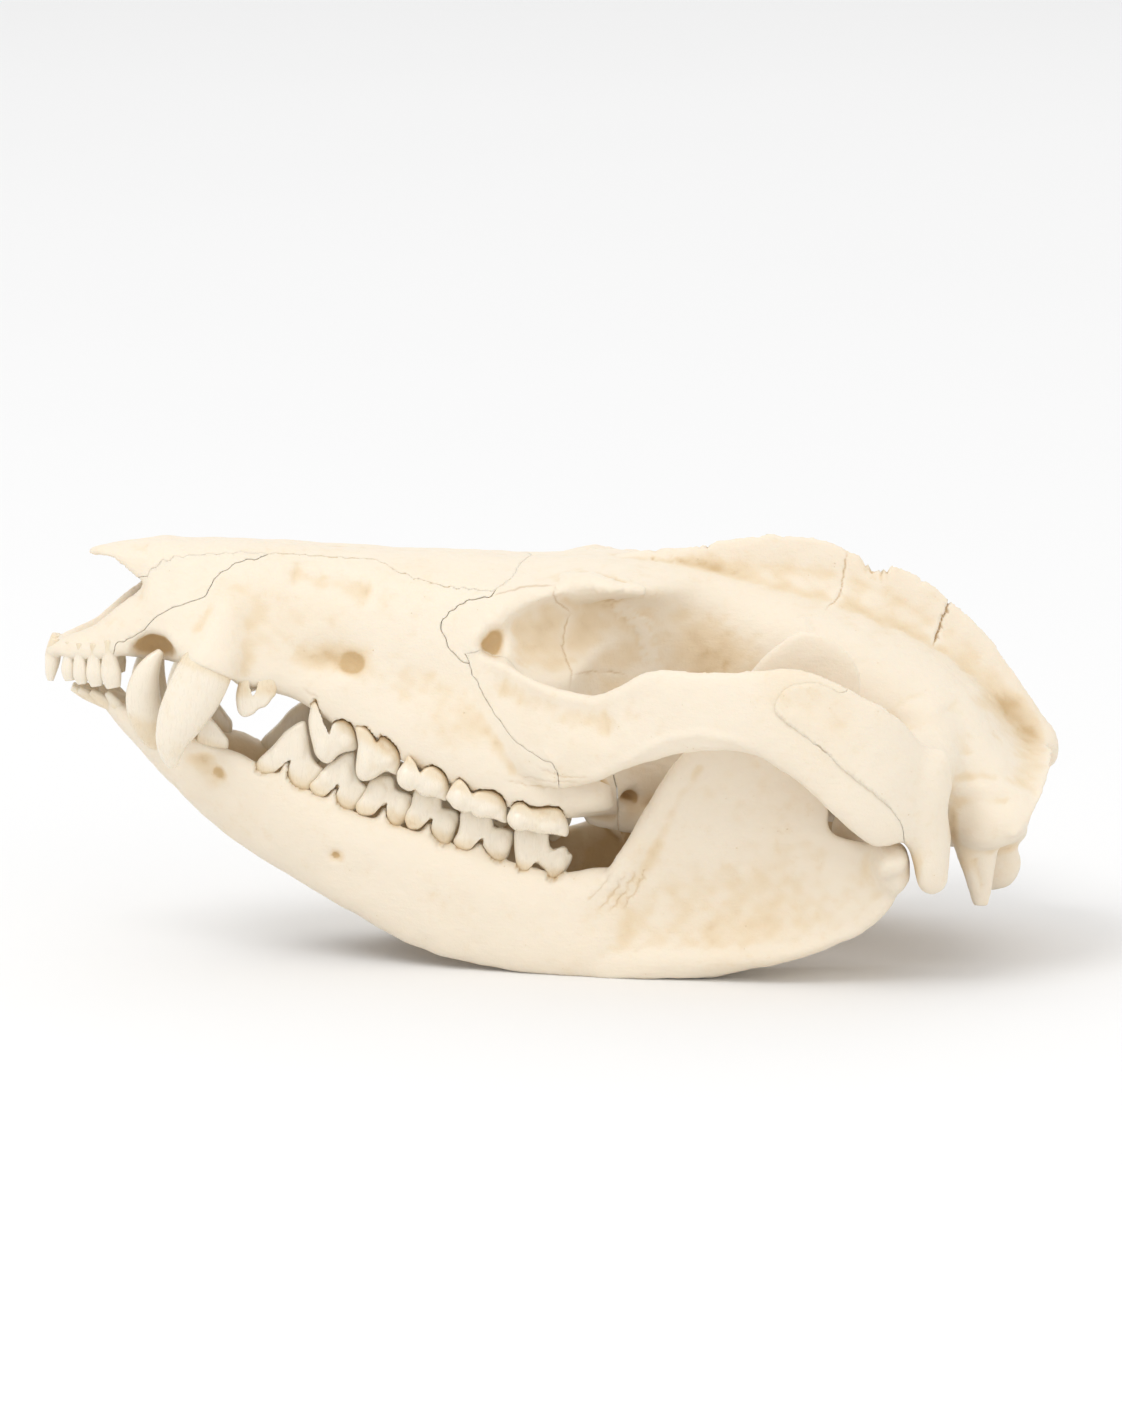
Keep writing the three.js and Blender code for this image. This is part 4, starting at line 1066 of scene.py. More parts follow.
class Nodes:
    """A material's nodes, put together a few at a time."""

    def __init__(self, name: str) -> None:
        """Starts a material with a plain shader and Object coordinates."""
        self.material = bpy.data.materials.new(name)
        self.material.use_nodes = True
        self.tree = self.material.node_tree
        self.shader = self.tree.nodes["Principled BSDF"]
        self.where = self.tree.nodes.new("ShaderNodeTexCoord").outputs["Object"]

    def link(self, value: object, socket: bpy.types.NodeSocket) -> None:
        """Joins an output to a socket, or sets a plain value on it."""
        if isinstance(value, bpy.types.NodeSocket):
            self.tree.links.new(value, socket)
        else:
            socket.default_value = value

    def stretched(self, scale: Place) -> bpy.types.NodeSocket:
        """Object coordinates stretched by a scale."""
        node = self.tree.nodes.new("ShaderNodeMapping")
        self.link(self.where, node.inputs["Vector"])
        node.inputs["Scale"].default_value = scale
        return node.outputs["Vector"]

    def noise(
        self,
        per_mm: float,
        detail: float = 3.0,
        rough: float = 0.5,
        where: object = None,
    ) -> bpy.types.NodeSocket:
        """Cloudy noise.

        Args:
            per_mm: How many bumps fit in a millimetre.
            detail: Finer layers.
            rough: Strength of the finer layers.
            where: Coordinates other than the plain ones.

        Returns:
            The noise from 0 to 1.
        """
        node = self.tree.nodes.new("ShaderNodeTexNoise")
        self.link(where or self.where, node.inputs["Vector"])
        node.inputs["Scale"].default_value = per_mm / MM
        node.inputs["Detail"].default_value = detail
        node.inputs["Roughness"].default_value = rough
        return node.outputs["Fac"]

    def pores(self, per_mm: float) -> bpy.types.NodeSocket:
        """The distance to the nearest of many scattered pores."""
        node = self.tree.nodes.new("ShaderNodeTexVoronoi")
        self.link(self.where, node.inputs["Vector"])
        node.inputs["Scale"].default_value = per_mm / MM
        return node.outputs["Distance"]

    def attribute(self, name: str) -> bpy.types.NodeSocket:
        """A value that was painted on the mesh."""
        node = self.tree.nodes.new("ShaderNodeAttribute")
        node.attribute_name = name
        return node.outputs["Fac"]

    def spread(
        self,
        value: object,
        low: float,
        high: float,
        to_low: float = 0.0,
        to_high: float = 1.0,
    ) -> bpy.types.NodeSocket:
        """Maps a range onto another, smoothly and clamped.

        Args:
            value: The value.
            low: Start of its range.
            high: End of its range.
            to_low: What low becomes.
            to_high: What high becomes.

        Returns:
            The mapped value.
        """
        node = self.tree.nodes.new("ShaderNodeMapRange")
        node.interpolation_type = "SMOOTHSTEP"
        self.link(value, node.inputs["Value"])
        for name, number in (("From Min", low), ("From Max", high), ("To Min", to_low), ("To Max", to_high)):
            node.inputs[name].default_value = number
        return node.outputs["Result"]

    def sum(self, first: object, second: object, share: float = 1.0) -> bpy.types.NodeSocket:
        """first plus share times second."""
        node = self.tree.nodes.new("ShaderNodeMath")
        node.operation = "MULTIPLY_ADD"
        self.link(second, node.inputs[0])
        node.inputs[1].default_value = share
        self.link(first, node.inputs[2])
        return node.outputs["Value"]

    def product(self, first: object, second: object) -> bpy.types.NodeSocket:
        """first times second."""
        node = self.tree.nodes.new("ShaderNodeMath")
        node.operation = "MULTIPLY"
        self.link(first, node.inputs[0])
        self.link(second, node.inputs[1])
        return node.outputs["Value"]

    def blend(self, share: object, first: object, second: object) -> bpy.types.NodeSocket:
        """Blends two colours by a share."""
        node = self.tree.nodes.new("ShaderNodeMix")
        node.data_type = "RGBA"
        self.link(share, node.inputs["Factor"])
        self.link(first, node.inputs["A"])
        self.link(second, node.inputs["B"])
        return node.outputs["Result"]

    def bump(self, height: object, depth: float, strength: float, below: object = None) -> bpy.types.NodeSocket:
        """Bends the light as if the surface had that height.

        Args:
            height: The height from 0 to 1.
            depth: Its full depth in mm.
            strength: How strongly it shows.
            below: Bumps that it lies on.

        Returns:
            The new normal.
        """
        node = self.tree.nodes.new("ShaderNodeBump")
        node.inputs["Strength"].default_value = strength
        node.inputs["Distance"].default_value = depth * MM
        self.link(height, node.inputs["Height"])
        if below is not None:
            self.link(below, node.inputs["Normal"])
        return node.outputs["Normal"]


@dataclass(frozen=True)
class BoneFinish:
    """Dry bleached bone: ivory, with painted shade making the hollows warmer, brown in seams and pits."""

    name: str = "bleached_bone"
    pale: Tone = Tone(0.84, 0.745, 0.605)
    warm: Tone = Tone(0.79, 0.65, 0.46)
    tan: Tone = Tone(0.60, 0.42, 0.22)
    dark_line_and_groove_shade: Tone = Tone(0.42, 0.25, 0.11)
    roughness: tuple[float, float] = (0.42, 0.62)
    glow: float = 0.12

    def make(self) -> bpy.types.Material:
        """Builds the material."""
        n = Nodes(self.name)
        cloud = n.noise(0.055, 4.0, 0.55)
        mottle = n.noise(0.6, 5.0, 0.6)
        fibre = n.noise(1.6, 4.0, 0.6, n.stretched((0.35, 1.0, 1.0)))
        pores = n.pores(1.15)
        # Painted shade: the painted attribute turns hollows and creases warm and tan; cloud and mottle noise
        # add uneven tone.
        stain_and_shade = n.sum(n.attribute("stain_and_shade"), n.spread(cloud, 0.45, 0.8, 0.0, 0.22))
        stain_and_shade = n.sum(stain_and_shade, n.spread(mottle, 0.5, 0.8, 0.0, 0.16))
        colour = n.blend(n.spread(stain_and_shade, 0.0, 0.45), self.pale.rgba(), self.warm.rgba())
        colour = n.blend(n.spread(stain_and_shade, 0.35, 1.0), colour, self.tan.rgba())
        pit = n.product(n.spread(pores, 0.05, 0.13, 1.0, 0.0), n.spread(mottle, 0.56, 0.66))
        colour = n.blend(n.product(pit, 0.55), colour, self.tan.rgba())
        colour = n.blend(n.attribute("dark_line_and_groove_shade"), colour, self.dark_line_and_groove_shade.rgba())
        n.link(colour, n.shader.inputs["Base Color"])
        n.link(n.spread(mottle, 0.3, 0.7, *self.roughness), n.shader.inputs["Roughness"])
        grain = n.bump(n.noise(2.6, 5.0, 0.7), 0.12, 0.5)
        lines = n.bump(fibre, 0.18, 0.4, grain)
        waves = n.bump(n.noise(0.35, 3.0), 0.4, 0.25, lines)
        pits = n.bump(n.sum(1.0, pit, -1.0), 0.12, 0.5, waves)
        n.link(pits, n.shader.inputs["Normal"])
        n.shader.inputs["Subsurface Weight"].default_value = self.glow
        n.shader.inputs["Subsurface Radius"].default_value = (1.0, 0.6, 0.35)
        n.shader.inputs["Subsurface Scale"].default_value = 1.2 * MM
        n.shader.inputs["Specular IOR Level"].default_value = 0.35
        return n.material


@dataclass(frozen=True)
class EnamelFinish:
    """Tooth enamel: whiter and glossier than the bone, with tan necks and painted shade in the grooves."""

    name: str = "tooth_enamel"
    crown: Tone = Tone(0.84, 0.76, 0.63)
    ivory: Tone = Tone(0.79, 0.67, 0.49)
    neck: Tone = Tone(0.64, 0.437, 0.23)
    groove: Tone = Tone(0.34, 0.177, 0.0656)
    roughness: tuple[float, float] = (0.22, 0.4)
    glow: float = 0.18

    def make(self) -> bpy.types.Material:
        """Builds the material."""
        n = Nodes(self.name)
        cloud = n.noise(0.35, 4.0, 0.55)
        streak = n.noise(2.4, 4.0, 0.6, n.stretched((1.0, 1.0, 0.25)))
        # Painted shade: the painted attribute holds the tan necks and painted shade in the hollows between
        # cusps.
        root = n.attribute("stain_and_shade")
        shade = n.sum(root, n.spread(cloud, 0.45, 0.8, 0.0, 0.35))
        colour = n.blend(n.spread(shade, 0.05, 0.6), self.crown.rgba(), self.ivory.rgba())
        colour = n.blend(n.spread(shade, 0.55, 1.1), colour, self.neck.rgba())
        # Painted shade: the grooves between cusps and teeth are painted dark brown.
        colour = n.blend(n.attribute("dark_line_and_groove_shade"), colour, self.groove.rgba())
        n.link(colour, n.shader.inputs["Base Color"])
        n.link(n.spread(streak, 0.3, 0.7, *self.roughness), n.shader.inputs["Roughness"])
        fine = n.bump(streak, 0.05, 0.25)
        n.link(n.bump(n.noise(0.9, 2.0), 0.15, 0.2, fine), n.shader.inputs["Normal"])
        n.shader.inputs["Subsurface Weight"].default_value = self.glow
        n.shader.inputs["Subsurface Radius"].default_value = (1.0, 0.75, 0.5)
        n.shader.inputs["Subsurface Scale"].default_value = 0.9 * MM
        n.shader.inputs["Coat Weight"].default_value = 0.15
        n.shader.inputs["Coat Roughness"].default_value = 0.2
        return n.material


@dataclass(frozen=True)
class FloorFinish:
    """A plain pale table top."""

    name: str = "pale_floor"
    colour: Tone = Tone(0.88, 0.88, 0.88)

    def make(self) -> bpy.types.Material:
        """Builds the material."""
        n = Nodes(self.name)
        faint = n.noise(0.004, 2.0)
        paper = Tone(self.colour.red * 0.98, self.colour.green * 0.98, self.colour.blue * 0.98)
        n.link(n.blend(faint, self.colour.rgba(), paper.rgba()), n.shader.inputs["Base Color"])
        n.shader.inputs["Roughness"].default_value = 0.9
        return n.material


def dress(obj: bpy.types.Object, material: bpy.types.Material, node: str, name: str) -> None:
    """Gives a finished piece its material and ties it to the part.

    Args:
        obj: The piece.
        material: Its finish.
        node: The node that it stands for.
        name: The piece's name.
    """
    write_points(obj, np.clip(read_points(obj), BOX_LOW, BOX_HIGH))
    obj.name = name
    obj.data.name = name
    obj.data.materials.clear()
    obj.data.materials.append(material)
    alone(obj)
    bpy.ops.object.shade_smooth()
    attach(obj, "root")
    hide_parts(node)
    log.info("%s: %d faces", name, len(obj.data.polygons))


def mirrored(obj: bpy.types.Object, name: str) -> bpy.types.Object:
    """A copy of obj for the other side of the skull, with its own mesh.

    Args:
        obj: The piece of one side.
        name: The copy's name.

    Returns:
        The copy.
    """
    alone(obj)
    bpy.ops.object.duplicate(linked=False)
    copy = bpy.context.object
    copy.name = name
    write_points(copy, read_points(copy) * np.array([1.0, -1.0, 1.0]))
    alone(copy)
    bpy.ops.object.mode_set(mode="EDIT")
    bpy.ops.mesh.select_all(action="SELECT")
    bpy.ops.mesh.flip_normals()
    bpy.ops.object.mode_set(mode="OBJECT")
    return copy


JAW_CONDYLE: tuple[Bulb, ...] = (
    Bulb((42.0, 14.9, 24.6), (2.5, 5.6, 2.4)),
    Bulb((42.3, 13.5, 24.3), (2.5, 2.6, 3.2), -0.2),
)


@dataclass
class Cranium:
    """Everything above the jaws: brain case, face, nose and cheek arches, without the teeth."""

    finish: bpy.types.Material
    orbit: Bulb = Bulb((9.4, 41.2, 21.4), (18.9, 13.4, 8.6), 0.06)
    tear_pit: Bulb = Bulb((-7.8, 41.6, 15.4), (2.0, 2.8, 2.8), 0.5)
    canine_notch: Bulb = Bulb((-50.5, 40.4, 9.4), (3.3, 5.6, 3.0), -0.25)
    infraorbital: Bulb = Bulb((-26.1, 39.2, 11.9), (2.2, 1.45, 1.5), 0.1, 0.32)
    palate_hole: Bulb = Bulb((9.0, 22.1, 9.0), (1.5, 2.6, 1.5))
    foramen_magnum: Bulb = Bulb((60.4, 18.8, 0.0), (6.0, 4.4, 4.0))
    socket_room: float = 0.25
    notch_at: float = 39.9
    notch_half: float = 1.9
    swellings: tuple[Bulb, ...] = (
        Bulb((54.6, 14.4, 5.4), (3.8, 3.0, 3.6), 0.2),
        Bulb((53.4, 20.8, 15.2), (5.8, 3.6, 4.6), 0.3),
        Bulb((54.9, 19.2, 16.6), (4.7, 3.2, 3.1), -0.28),
        Bulb((46.4, 30.8, 14.6), (4.5, 3.2, 4.0), 0.5),
        Bulb((38.0, 18.8, 11.0), (3.4, 2.6, 3.0)),
        Bulb((46.6, 22.6, 25.6), (2.9, 2.8, 6.8), 0.32),
        Bulb((47.3, 12.6, 24.9), (2.2, 2.5, 2.6)),
        Bulb((-62.6, 40.9, 1.5), (1.2, 1.1, 1.2)),
        Bulb((-60.6, 40.7, 3.3), (0.95, 0.95, 1.2)),
        Bulb((-59.3, 40.6, 4.2), (0.95, 0.95, 1.2)),
        Bulb((-57.5, 40.6, 4.9), (1.1, 1.0, 1.2)),
        Bulb((-55.6, 40.9, 5.5), (1.2, 1.05, 1.3)),
    )
    seams: dict[str, Seam] = field(
        default_factory=lambda: {
            "premaxilla": Seam(PREMAXILLA_SUTURE, 6, (-20, 20), 0.16, 3),
            "face": Seam(FACE_SUTURE, 12, (-20, 20), 0.12, 4),
            "cheek": Seam(CHEEK_SUTURE, 20, (4, 40), 0.1, 5),
            "temple": Seam(TEMPLE_SUTURE, 31, (15, 45), 0.08, 6),
        }
    )
    relief: tuple[Relief, ...] = (
        *WEATHERED,
        # Brow, and the groove round the boss behind the arch.
        Stroke(((3.0, 49.9), (7.2, 51.0), (15.6, 53.0)), 0.3, 1.1),
        Stroke(((51.4, 27.0), (51.2, 29.6), (50.2, 32.4), (48.4, 34.4)), -0.25, 1.8, (8, 99)),
        # Rims of the tear pit and of the notch for the lower canine.
        Stroke(
            ((-5.0, 38.4), (-7.3, 39.0), (-9.5, 40.3), (-10.3, 41.6), (-9.9, 42.8), (-8.6, 44.0)),
            0.4, 0.7,
        ),
        Stroke(((-8.6, 44.0), (-7.2, 45.2), (-6.0, 46.4)), 0.3, 0.8),
        Stroke(
            ((-53.4, 41.4), (-52.6, 42.8), (-50.4, 43.6), (-48.4, 43.2), (-47.2, 41.6), (-47.2, 40.4)),
            0.3, 0.5,
        ),
        # Dent along the face.
        Stroke(((-34.0, 51.0), (-28.0, 49.6), (-22.0, 48.0)), -0.5, 1.8, (6, 99)),
        Stroke(((-31.0, 51.2), (-29.0, 51.0)), 0.25, 0.5, (6, 99)),
        # Groove and ridges of the cheek arch.
        Stroke(
            ((-9.0, 37.2), (-7.3, 36.4), (-3.2, 34.7), (1.4, 32.6), (5.2, 31.7), (8.4, 32.4)),
            -0.6, 2.4, (14, 99),
        ),
        Stroke(
            ((-5.3, 37.5), (-0.3, 35.3), (4.7, 34.4), (8.9, 36.0), (12.0, 37.4)),
            0.3, 0.8, (14, 99),
        ),
        Stroke(
            ((6.8, 25.8), (11.4, 28.7), (14.3, 30.0), (18.1, 30.5), (22.2, 29.8), (25.6, 28.3)),
            0.3, 0.6, (20, 99),
        ),
        Stroke(((-2.0, 24.4), (2.0, 24.0), (6.8, 25.8)), 0.45, 0.8, (14, 99)),
        Stroke(((-1.6, 28.4), (0.2, 26.6)), 0.2, 0.4, (14, 99)),
        # Ridges and grooves in front of the nape, then of the temple.
        Stroke(((49.2, 23.5), (53.0, 23.8), (57.0, 23.3), (60.0, 22.0)), 0.35, 1.0, (10, 99)),
        Stroke(((49.2, 24.9), (53.0, 25.1), (56.0, 24.9)), -0.15, 0.9, (10, 99)),
        Stroke(((49.8, 20.8), (51.4, 21.9), (54.8, 22.5), (57.4, 21.9)), -0.2, 1.0, (10, 99)),
        Stroke(((52.4, 15.2), (53.2, 12.6), (53.6, 10.6)), -0.25, 0.7, (10, 99)),
        Stroke(((30.6, 45.1), (31.6, 42.9)), 0.25, 0.5, (6, 99)),
        Stroke(((7.0, 47.2), (10.6, 44.4), (12.4, 39.0)), 0.2, 0.7, (4, 18), 0.35),
        # Hollows, the first before the hole under the eye.
        Patch((-28.4, 39.9, 11.5), (3.8, 2.3, 4.0), -1.15),
        Patch((20.0, 42.0, 7.0), (6.0, 5.0, 5.0), -0.6),
        Patch((-18.0, 37.0, 13.0), (5.0, 3.0, 5.0), -0.35),
        Patch((56.0, 29.6, 8.0), (4.0, 3.0, 8.0), -0.5),
        Patch((43.0, 40.0, 10.0), (6.0, 4.0, 8.0), -0.4),
    )
    flowing: tuple[Patch, ...] = (
        Patch((47.2, 21.0, 26.0), (3.8, 9.0, 6.0), 1.6),
        Patch((-36.4, 43.6, 8.6), (2.6, 5.0, 6.0), 0.9),
        Patch((53.6, 23.4, 15.6), (5.0, 3.4, 6.0), 1.2),
        Patch((48.6, 30.4, 16.0), (4.4, 4.0, 6.0), 1.0),
        Patch((56.6, 33.0, 6.0), (6.0, 6.0, 7.0), 1.2),
        Patch((59.6, 26.6, 8.0), (4.0, 6.0, 7.0), 1.0),
    )
    brow_grain: tuple[Relief, ...] = (
        Stroke(((3.2, 49.4), (7.0, 48.9), (11.2, 48.4)), 0.16, 1.6, (6, 99), 0.9),
        Stroke(((1.2, 50.2), (6.0, 50.0), (11.0, 49.2)), -0.1, 0.25, (6, 99), 0.5),
        Stroke(((2.0, 48.3), (6.6, 47.7), (10.8, 47.6)), -0.12, 0.25, (6, 99), 0.5),
    )
    cracks: tuple[Stroke, ...] = (
        # In the crest.
        Stroke(
            ((49.4, 47.8), (48.8, 46.2), (48.1, 44.4), (47.2, 41.6)),
            -0.4, 0.11, (0, 9), 0.05, 0.8,
        ),
        Stroke(
            ((36.3, 53.3), (35.9, 50.0), (35.3, 47.5), (33.7, 46.0)),
            -0.14, 0.09, (0, 9), 0.1, 0.4,
        ),
        Stroke(((19.0, 54.6), (18.9, 53.7)), -0.5, 0.16, (0, 9)),
        # In the wall of the eye socket.
        Stroke(
            ((0.0, 49.1), (-0.3, 47.9), (0.2, 46.9), (1.4, 46.1), (1.9, 45.6)),
            -0.1, 0.1, (6, 99), 0.06, 0.35,
        ),
        Stroke(
            ((1.9, 45.6), (1.2, 43.9), (0.9, 41.4), (1.2, 40.1), (2.1, 38.1), (1.7, 36.2)), -0.1, 0.1, (4, 18), 0.06, 0.35
        ),
        Stroke(((2.1, 37.9), (4.7, 38.3), (6.8, 38.3), (8.9, 37.9)), -0.08, 0.1, (4, 18), 0.06, 0.3),
        Stroke(
            ((-7.9, 47.7), (-5.6, 48.4), (-3.6, 48.9), (-0.1, 49.1)),
            -0.1, 0.1, (6, 99), 0.05, 0.4,
        ),
        # Where the chewing muscle was fixed, and over a root.
        Stroke(((-6.4, 24.8), (-3.0, 23.9), (1.0, 23.7)), -0.08, 0.12, (14, 99), 0.1, 0.2),
        Stroke(((-4.6, 25.4), (-1.4, 24.6), (3.4, 24.3)), -0.08, 0.12, (14, 99), 0.1, 0.2),
        Stroke(((-2.4, 26.2), (0.6, 25.2), (4.4, 25.0)), -0.08, 0.12, (14, 99), 0.1, 0.2),
        Stroke(((-31.4, 36.0), (-29.6, 35.0)), -0.08, 0.12, (8, 99), 0.05, 0.2),
    )
    stuck_on: Stroke = Stroke(TEMPLE_SUTURE[1:9], 0.36, 1.5, (22, 99))
    # Warmer patches, mostly painted shade in the pits, foramina, notches, eye socket and nostril, some of them
    # staining.
    shade_and_stain_patches: tuple[Patch, ...] = (
        Patch((-25.0, 39.3, 11.0), (1.6, 1.8, 3.0), 0.9),
        Patch((-12.0, 30.5, 15.0), (6.0, 3.5, 6.0), 0.28),
        Patch((-24.0, 45.5, 9.0), (8.0, 6.0, 5.0), 0.14),
        Patch((21.0, 39.5, 9.0), (7.0, 4.0, 6.0), 0.45),
        Patch((0.5, 40.0, 10.0), (7.0, 4.5, 5.0), 0.2),
        Patch((-8.2, 41.6, 13.0), (2.0, 2.4, 4.0), 0.4),
        Patch((57.5, 33.0, 3.0), (5.0, 3.0, 8.0), 0.3),
        Patch((60.5, 26.0, 8.0), (3.0, 6.0, 9.0), 0.3),
        Patch((49.9, 18.8, 18.0), (0.8, 2.6, 8.0), 1.0),
        Patch((51.2, 14.4, 14.0), (1.2, 2.2, 6.0), 0.8),
        Patch((45.4, 14.0, 25.0), (1.0, 3.0, 5.0), 0.9),
        Patch((55.0, 34.4, 6.0), (5.0, 1.4, 9.0), 0.35),
        Patch((-50.4, 41.0, 4.5), (3.4, 2.6, 3.0), 0.7),
        Patch((40.0, 44.0, 9.0), (5.0, 3.0, 8.0), 0.12),
        Patch((53.0, 12.0, 14.0), (2.5, 4.0, 4.0), 0.3),
        Patch((47.5, 13.5, 25.0), (3.5, 4.0, 4.0), 0.25),
        Patch((8.0, 22.0, 8.0), (5.0, 4.0, 5.0), 0.6),
        Patch((-54.0, 49.0, 1.0), (6.0, 6.0, 4.5), 0.5),
    )

    def core(self) -> bpy.types.Object:
        """Lofts the snout, face and brain case."""

        def wall(t: np.ndarray, angle: np.ndarray) -> np.ndarray:
            """The section at t, mirrored about the midline."""
            row = between(CORE, t)
            zero = np.zeros(len(row))
            half = [np.stack([zero, row[:, 1]], 1)]
            half += [row[:, k : k + 2] for k in range(2, 10, 2)]
            half += [np.stack([zero, row[:, 10]], 1)]
            flip = np.array([-1.0, 1.0])
            rim = np.stack([half[1] * flip, *half, half[-2] * flip], axis=1)
            at = 1 + np.abs(angle) / math.pi * (len(half) - 1)
            i = np.minimum(np.floor(at).astype(int), len(half) - 1)
            n = np.arange(len(row))
            w, v = spline(*(rim[n, i + k] for k in (-1, 0, 1, 2)), (at - i)[:, None]).T
            left = VIEW.place(row[:, 0], v, np.abs(w), LEFT)
            right = VIEW.place(row[:, 0], v, np.abs(w), RIGHT)
            return np.where((angle < 0)[:, None], right, left)

        return loft("core", 170, 112, wall)

    def tunnel(self, name: str, rows: Rows, droop: float = 0.0) -> bpy.types.Object:
        """Lofts a body on the midline from a table of x, v, half width and half height.

        Args:
            name: Name of the new object.
            rows: The table.
            droop: How far its edges hang at the widest row.

        Returns:
            The new mesh object.
        """

        def wall(t: np.ndarray, angle: np.ndarray) -> np.ndarray:
            """The section at t."""
            x, v, half, tall = between(rows, t).T
            w = half * np.sin(angle)
            height = v - droop * (w / rows[-1][2]) ** 2 + tall * np.cos(angle)
            left = VIEW.place(x, height, np.abs(w), LEFT)
            right = VIEW.place(x, height, np.abs(w), RIGHT)
            return np.where((w > 0)[:, None], left, right)

        return loft(name, 30, 40, wall)

    def grow(self) -> bpy.types.Object:
        """Fuses all forms into one skin and hollows it.

        Returns:
            The whole cranium as one body.
        """
        middle = self.core()
        grow_together(middle, BONE_GRAIN, 1)
        carve(middle, self.tunnel("nostril", NOSTRIL))
        hollows = [self.orbit, self.tear_pit, self.canine_notch, self.infraorbital, self.palate_hole]
        for side in BOTH:
            for hollow in hollows:
                carve(middle, hollow.make("hollow", side))
        forms = [
            middle,
            self.tunnel("nose_roof", NASAL_ROOF, 1.9),
            ribbon("crest", CREST, 90, 32),
            ribbon("crest_root", CREST_ROOT, 70, 32, square=1.0),
        ]
        for side in BOTH:
            forms += [
                ribbon("nasal_flank", NASAL_FLANK, 30, 24, side),
                rod("canine_sheath", CANINE_SHEATH, 20, 32, side),
                rod("root_sheath", ROOT_SHEATH, 12, 20, side),
                rod("row_end", ROW_END, 20, 28, side),
                ribbon("arch", ARCH, 110, 40, side),
                ribbon("nape", NAPE, 44, 32, side),
                crossbar("arch_root", ARCH_ROOT, 24, 40, side),
                rod("paroccipital", PAROCCIPITAL, 20, 28, side),
                rod("postorbital", POSTORBITAL, 20, 28, side),
                rod("pterygoid", PTERYGOID, 20, 24, side),
            ]
            forms += [bulb.make("swelling", side) for bulb in self.swellings]
        whole = fuse(forms, "cranium")
        grow_together(whole, BONE_GRAIN, 2)
        carve(whole, self.foramen_magnum.make("foramen"))
        for side in BOTH:
            for bulb in JAW_CONDYLE:
                carve(whole, bulb.make("socket", side, self.socket_room))
        grow_together(whole, BONE_GRAIN, 5)
        return whole

    def roughen(self, whole: bpy.types.Object) -> None:
        """Breaks the crest's edge and sinks a notch into it.

        Args:
            whole: The whole cranium.
        """
        points = read_points(whole)
        x, v, w = VIEW.flatten(points)
        rows = np.asarray(CREST)
        rim = np.interp(x, rows[:, 3], rows[:, 4])
        depth = rim - v
        on_rim = (w < 2.6) & (x > 12) & (depth < 3)
        flat = np.stack([x, v], 1)
        ragged = 0.16 * ripple(flat, 1.1, 11) + 0.1 * ripple(flat, 0.45, 12)
        drop = np.where(on_rim, ragged * np.clip(1 - depth / 2.5, 0, 1), 0)
        off = np.abs(x - self.notch_at)
        notch = np.clip(1 - off / self.notch_half, 0, 1) ** 0.4
        teeth = 1.4 + 0.45 * np.sin(x * 9.0)
        sunk = notch * teeth * np.clip(1 - depth / 3, 0, 1)
        sunk = np.where(on_rim & (off < self.notch_half), sunk, 0)
        lowered = (np.maximum(drop, 0) + sunk) * UNIT
        write_points(whole, points - np.array([0, 0, 1.0]) * lowered[:, None])

    def nasal_block(self, grown: float) -> bpy.types.Object:
        """The room of the nasals, grown on every side.

        Args:
            grown: In mm.

        Returns:
            The new mesh object.
        """
        top = 30.0
        plan = between(NASAL_PLAN, np.linspace(0, 1, 180))
        stray = 0.14 * ripple(plan[:, :1], 0.8, 21)
        half = np.maximum(plan[:, 1] + stray + grown, 0.05)
        x = plan[:, 0] + np.where(plan[:, 0] > -4, grown, 0)
        bpy.ops.mesh.primitive_grid_add(x_subdivisions=len(x) - 1, y_subdivisions=1, size=2.0)
        obj = bpy.context.object
        grid = read_points(obj)
        column = np.rint((grid[:, 0] + 1) / 2 * (len(x) - 1)).astype(int)
        y = np.sign(grid[:, 1]) * half[column]
        z = plan[column, 2] - grown
        write_points(obj, np.stack([x[column], y, z], axis=1) * UNIT)
        alone(obj)
        bpy.ops.object.mode_set(mode="EDIT")
        bpy.ops.mesh.select_all(action="SELECT")
        bpy.ops.mesh.extrude_region_move(TRANSFORM_OT_translate={"value": (0, 0, top * UNIT)})
        bpy.ops.object.mode_set(mode="OBJECT")
        return outward(obj)

    def jugal_room(self, side: int, shift: float, gap: float) -> bpy.types.Object:
        """The room of one jugal between its two seams.

        Args:
            side: LEFT or RIGHT.
            shift: How far the seams are moved away from the jugal, in mm.
            gap: Thickness of the seams in mm.

        Returns:
            The new mesh object.
        """
        wide = 0.8
        rows = tuple(
            (x0, v0 - wide, w0, x1, v1 + wide, w1, low + 2 * wide, high + 2 * wide, bow)
            for x0, v0, w0, x1, v1, w1, low, high, bow in ARCH
        )
        room = ribbon("jugal_room", rows, 110, 40, side)
        carve(room, self.seams["cheek"].make(side, -shift, gap))
        carve(room, self.seams["temple"].make(side, shift, gap))
        bodies = split_loose(room)
        jugal = body_at(bodies, (18.0, 28.0, 29.0), side)
        discard(bodies)
        return jugal

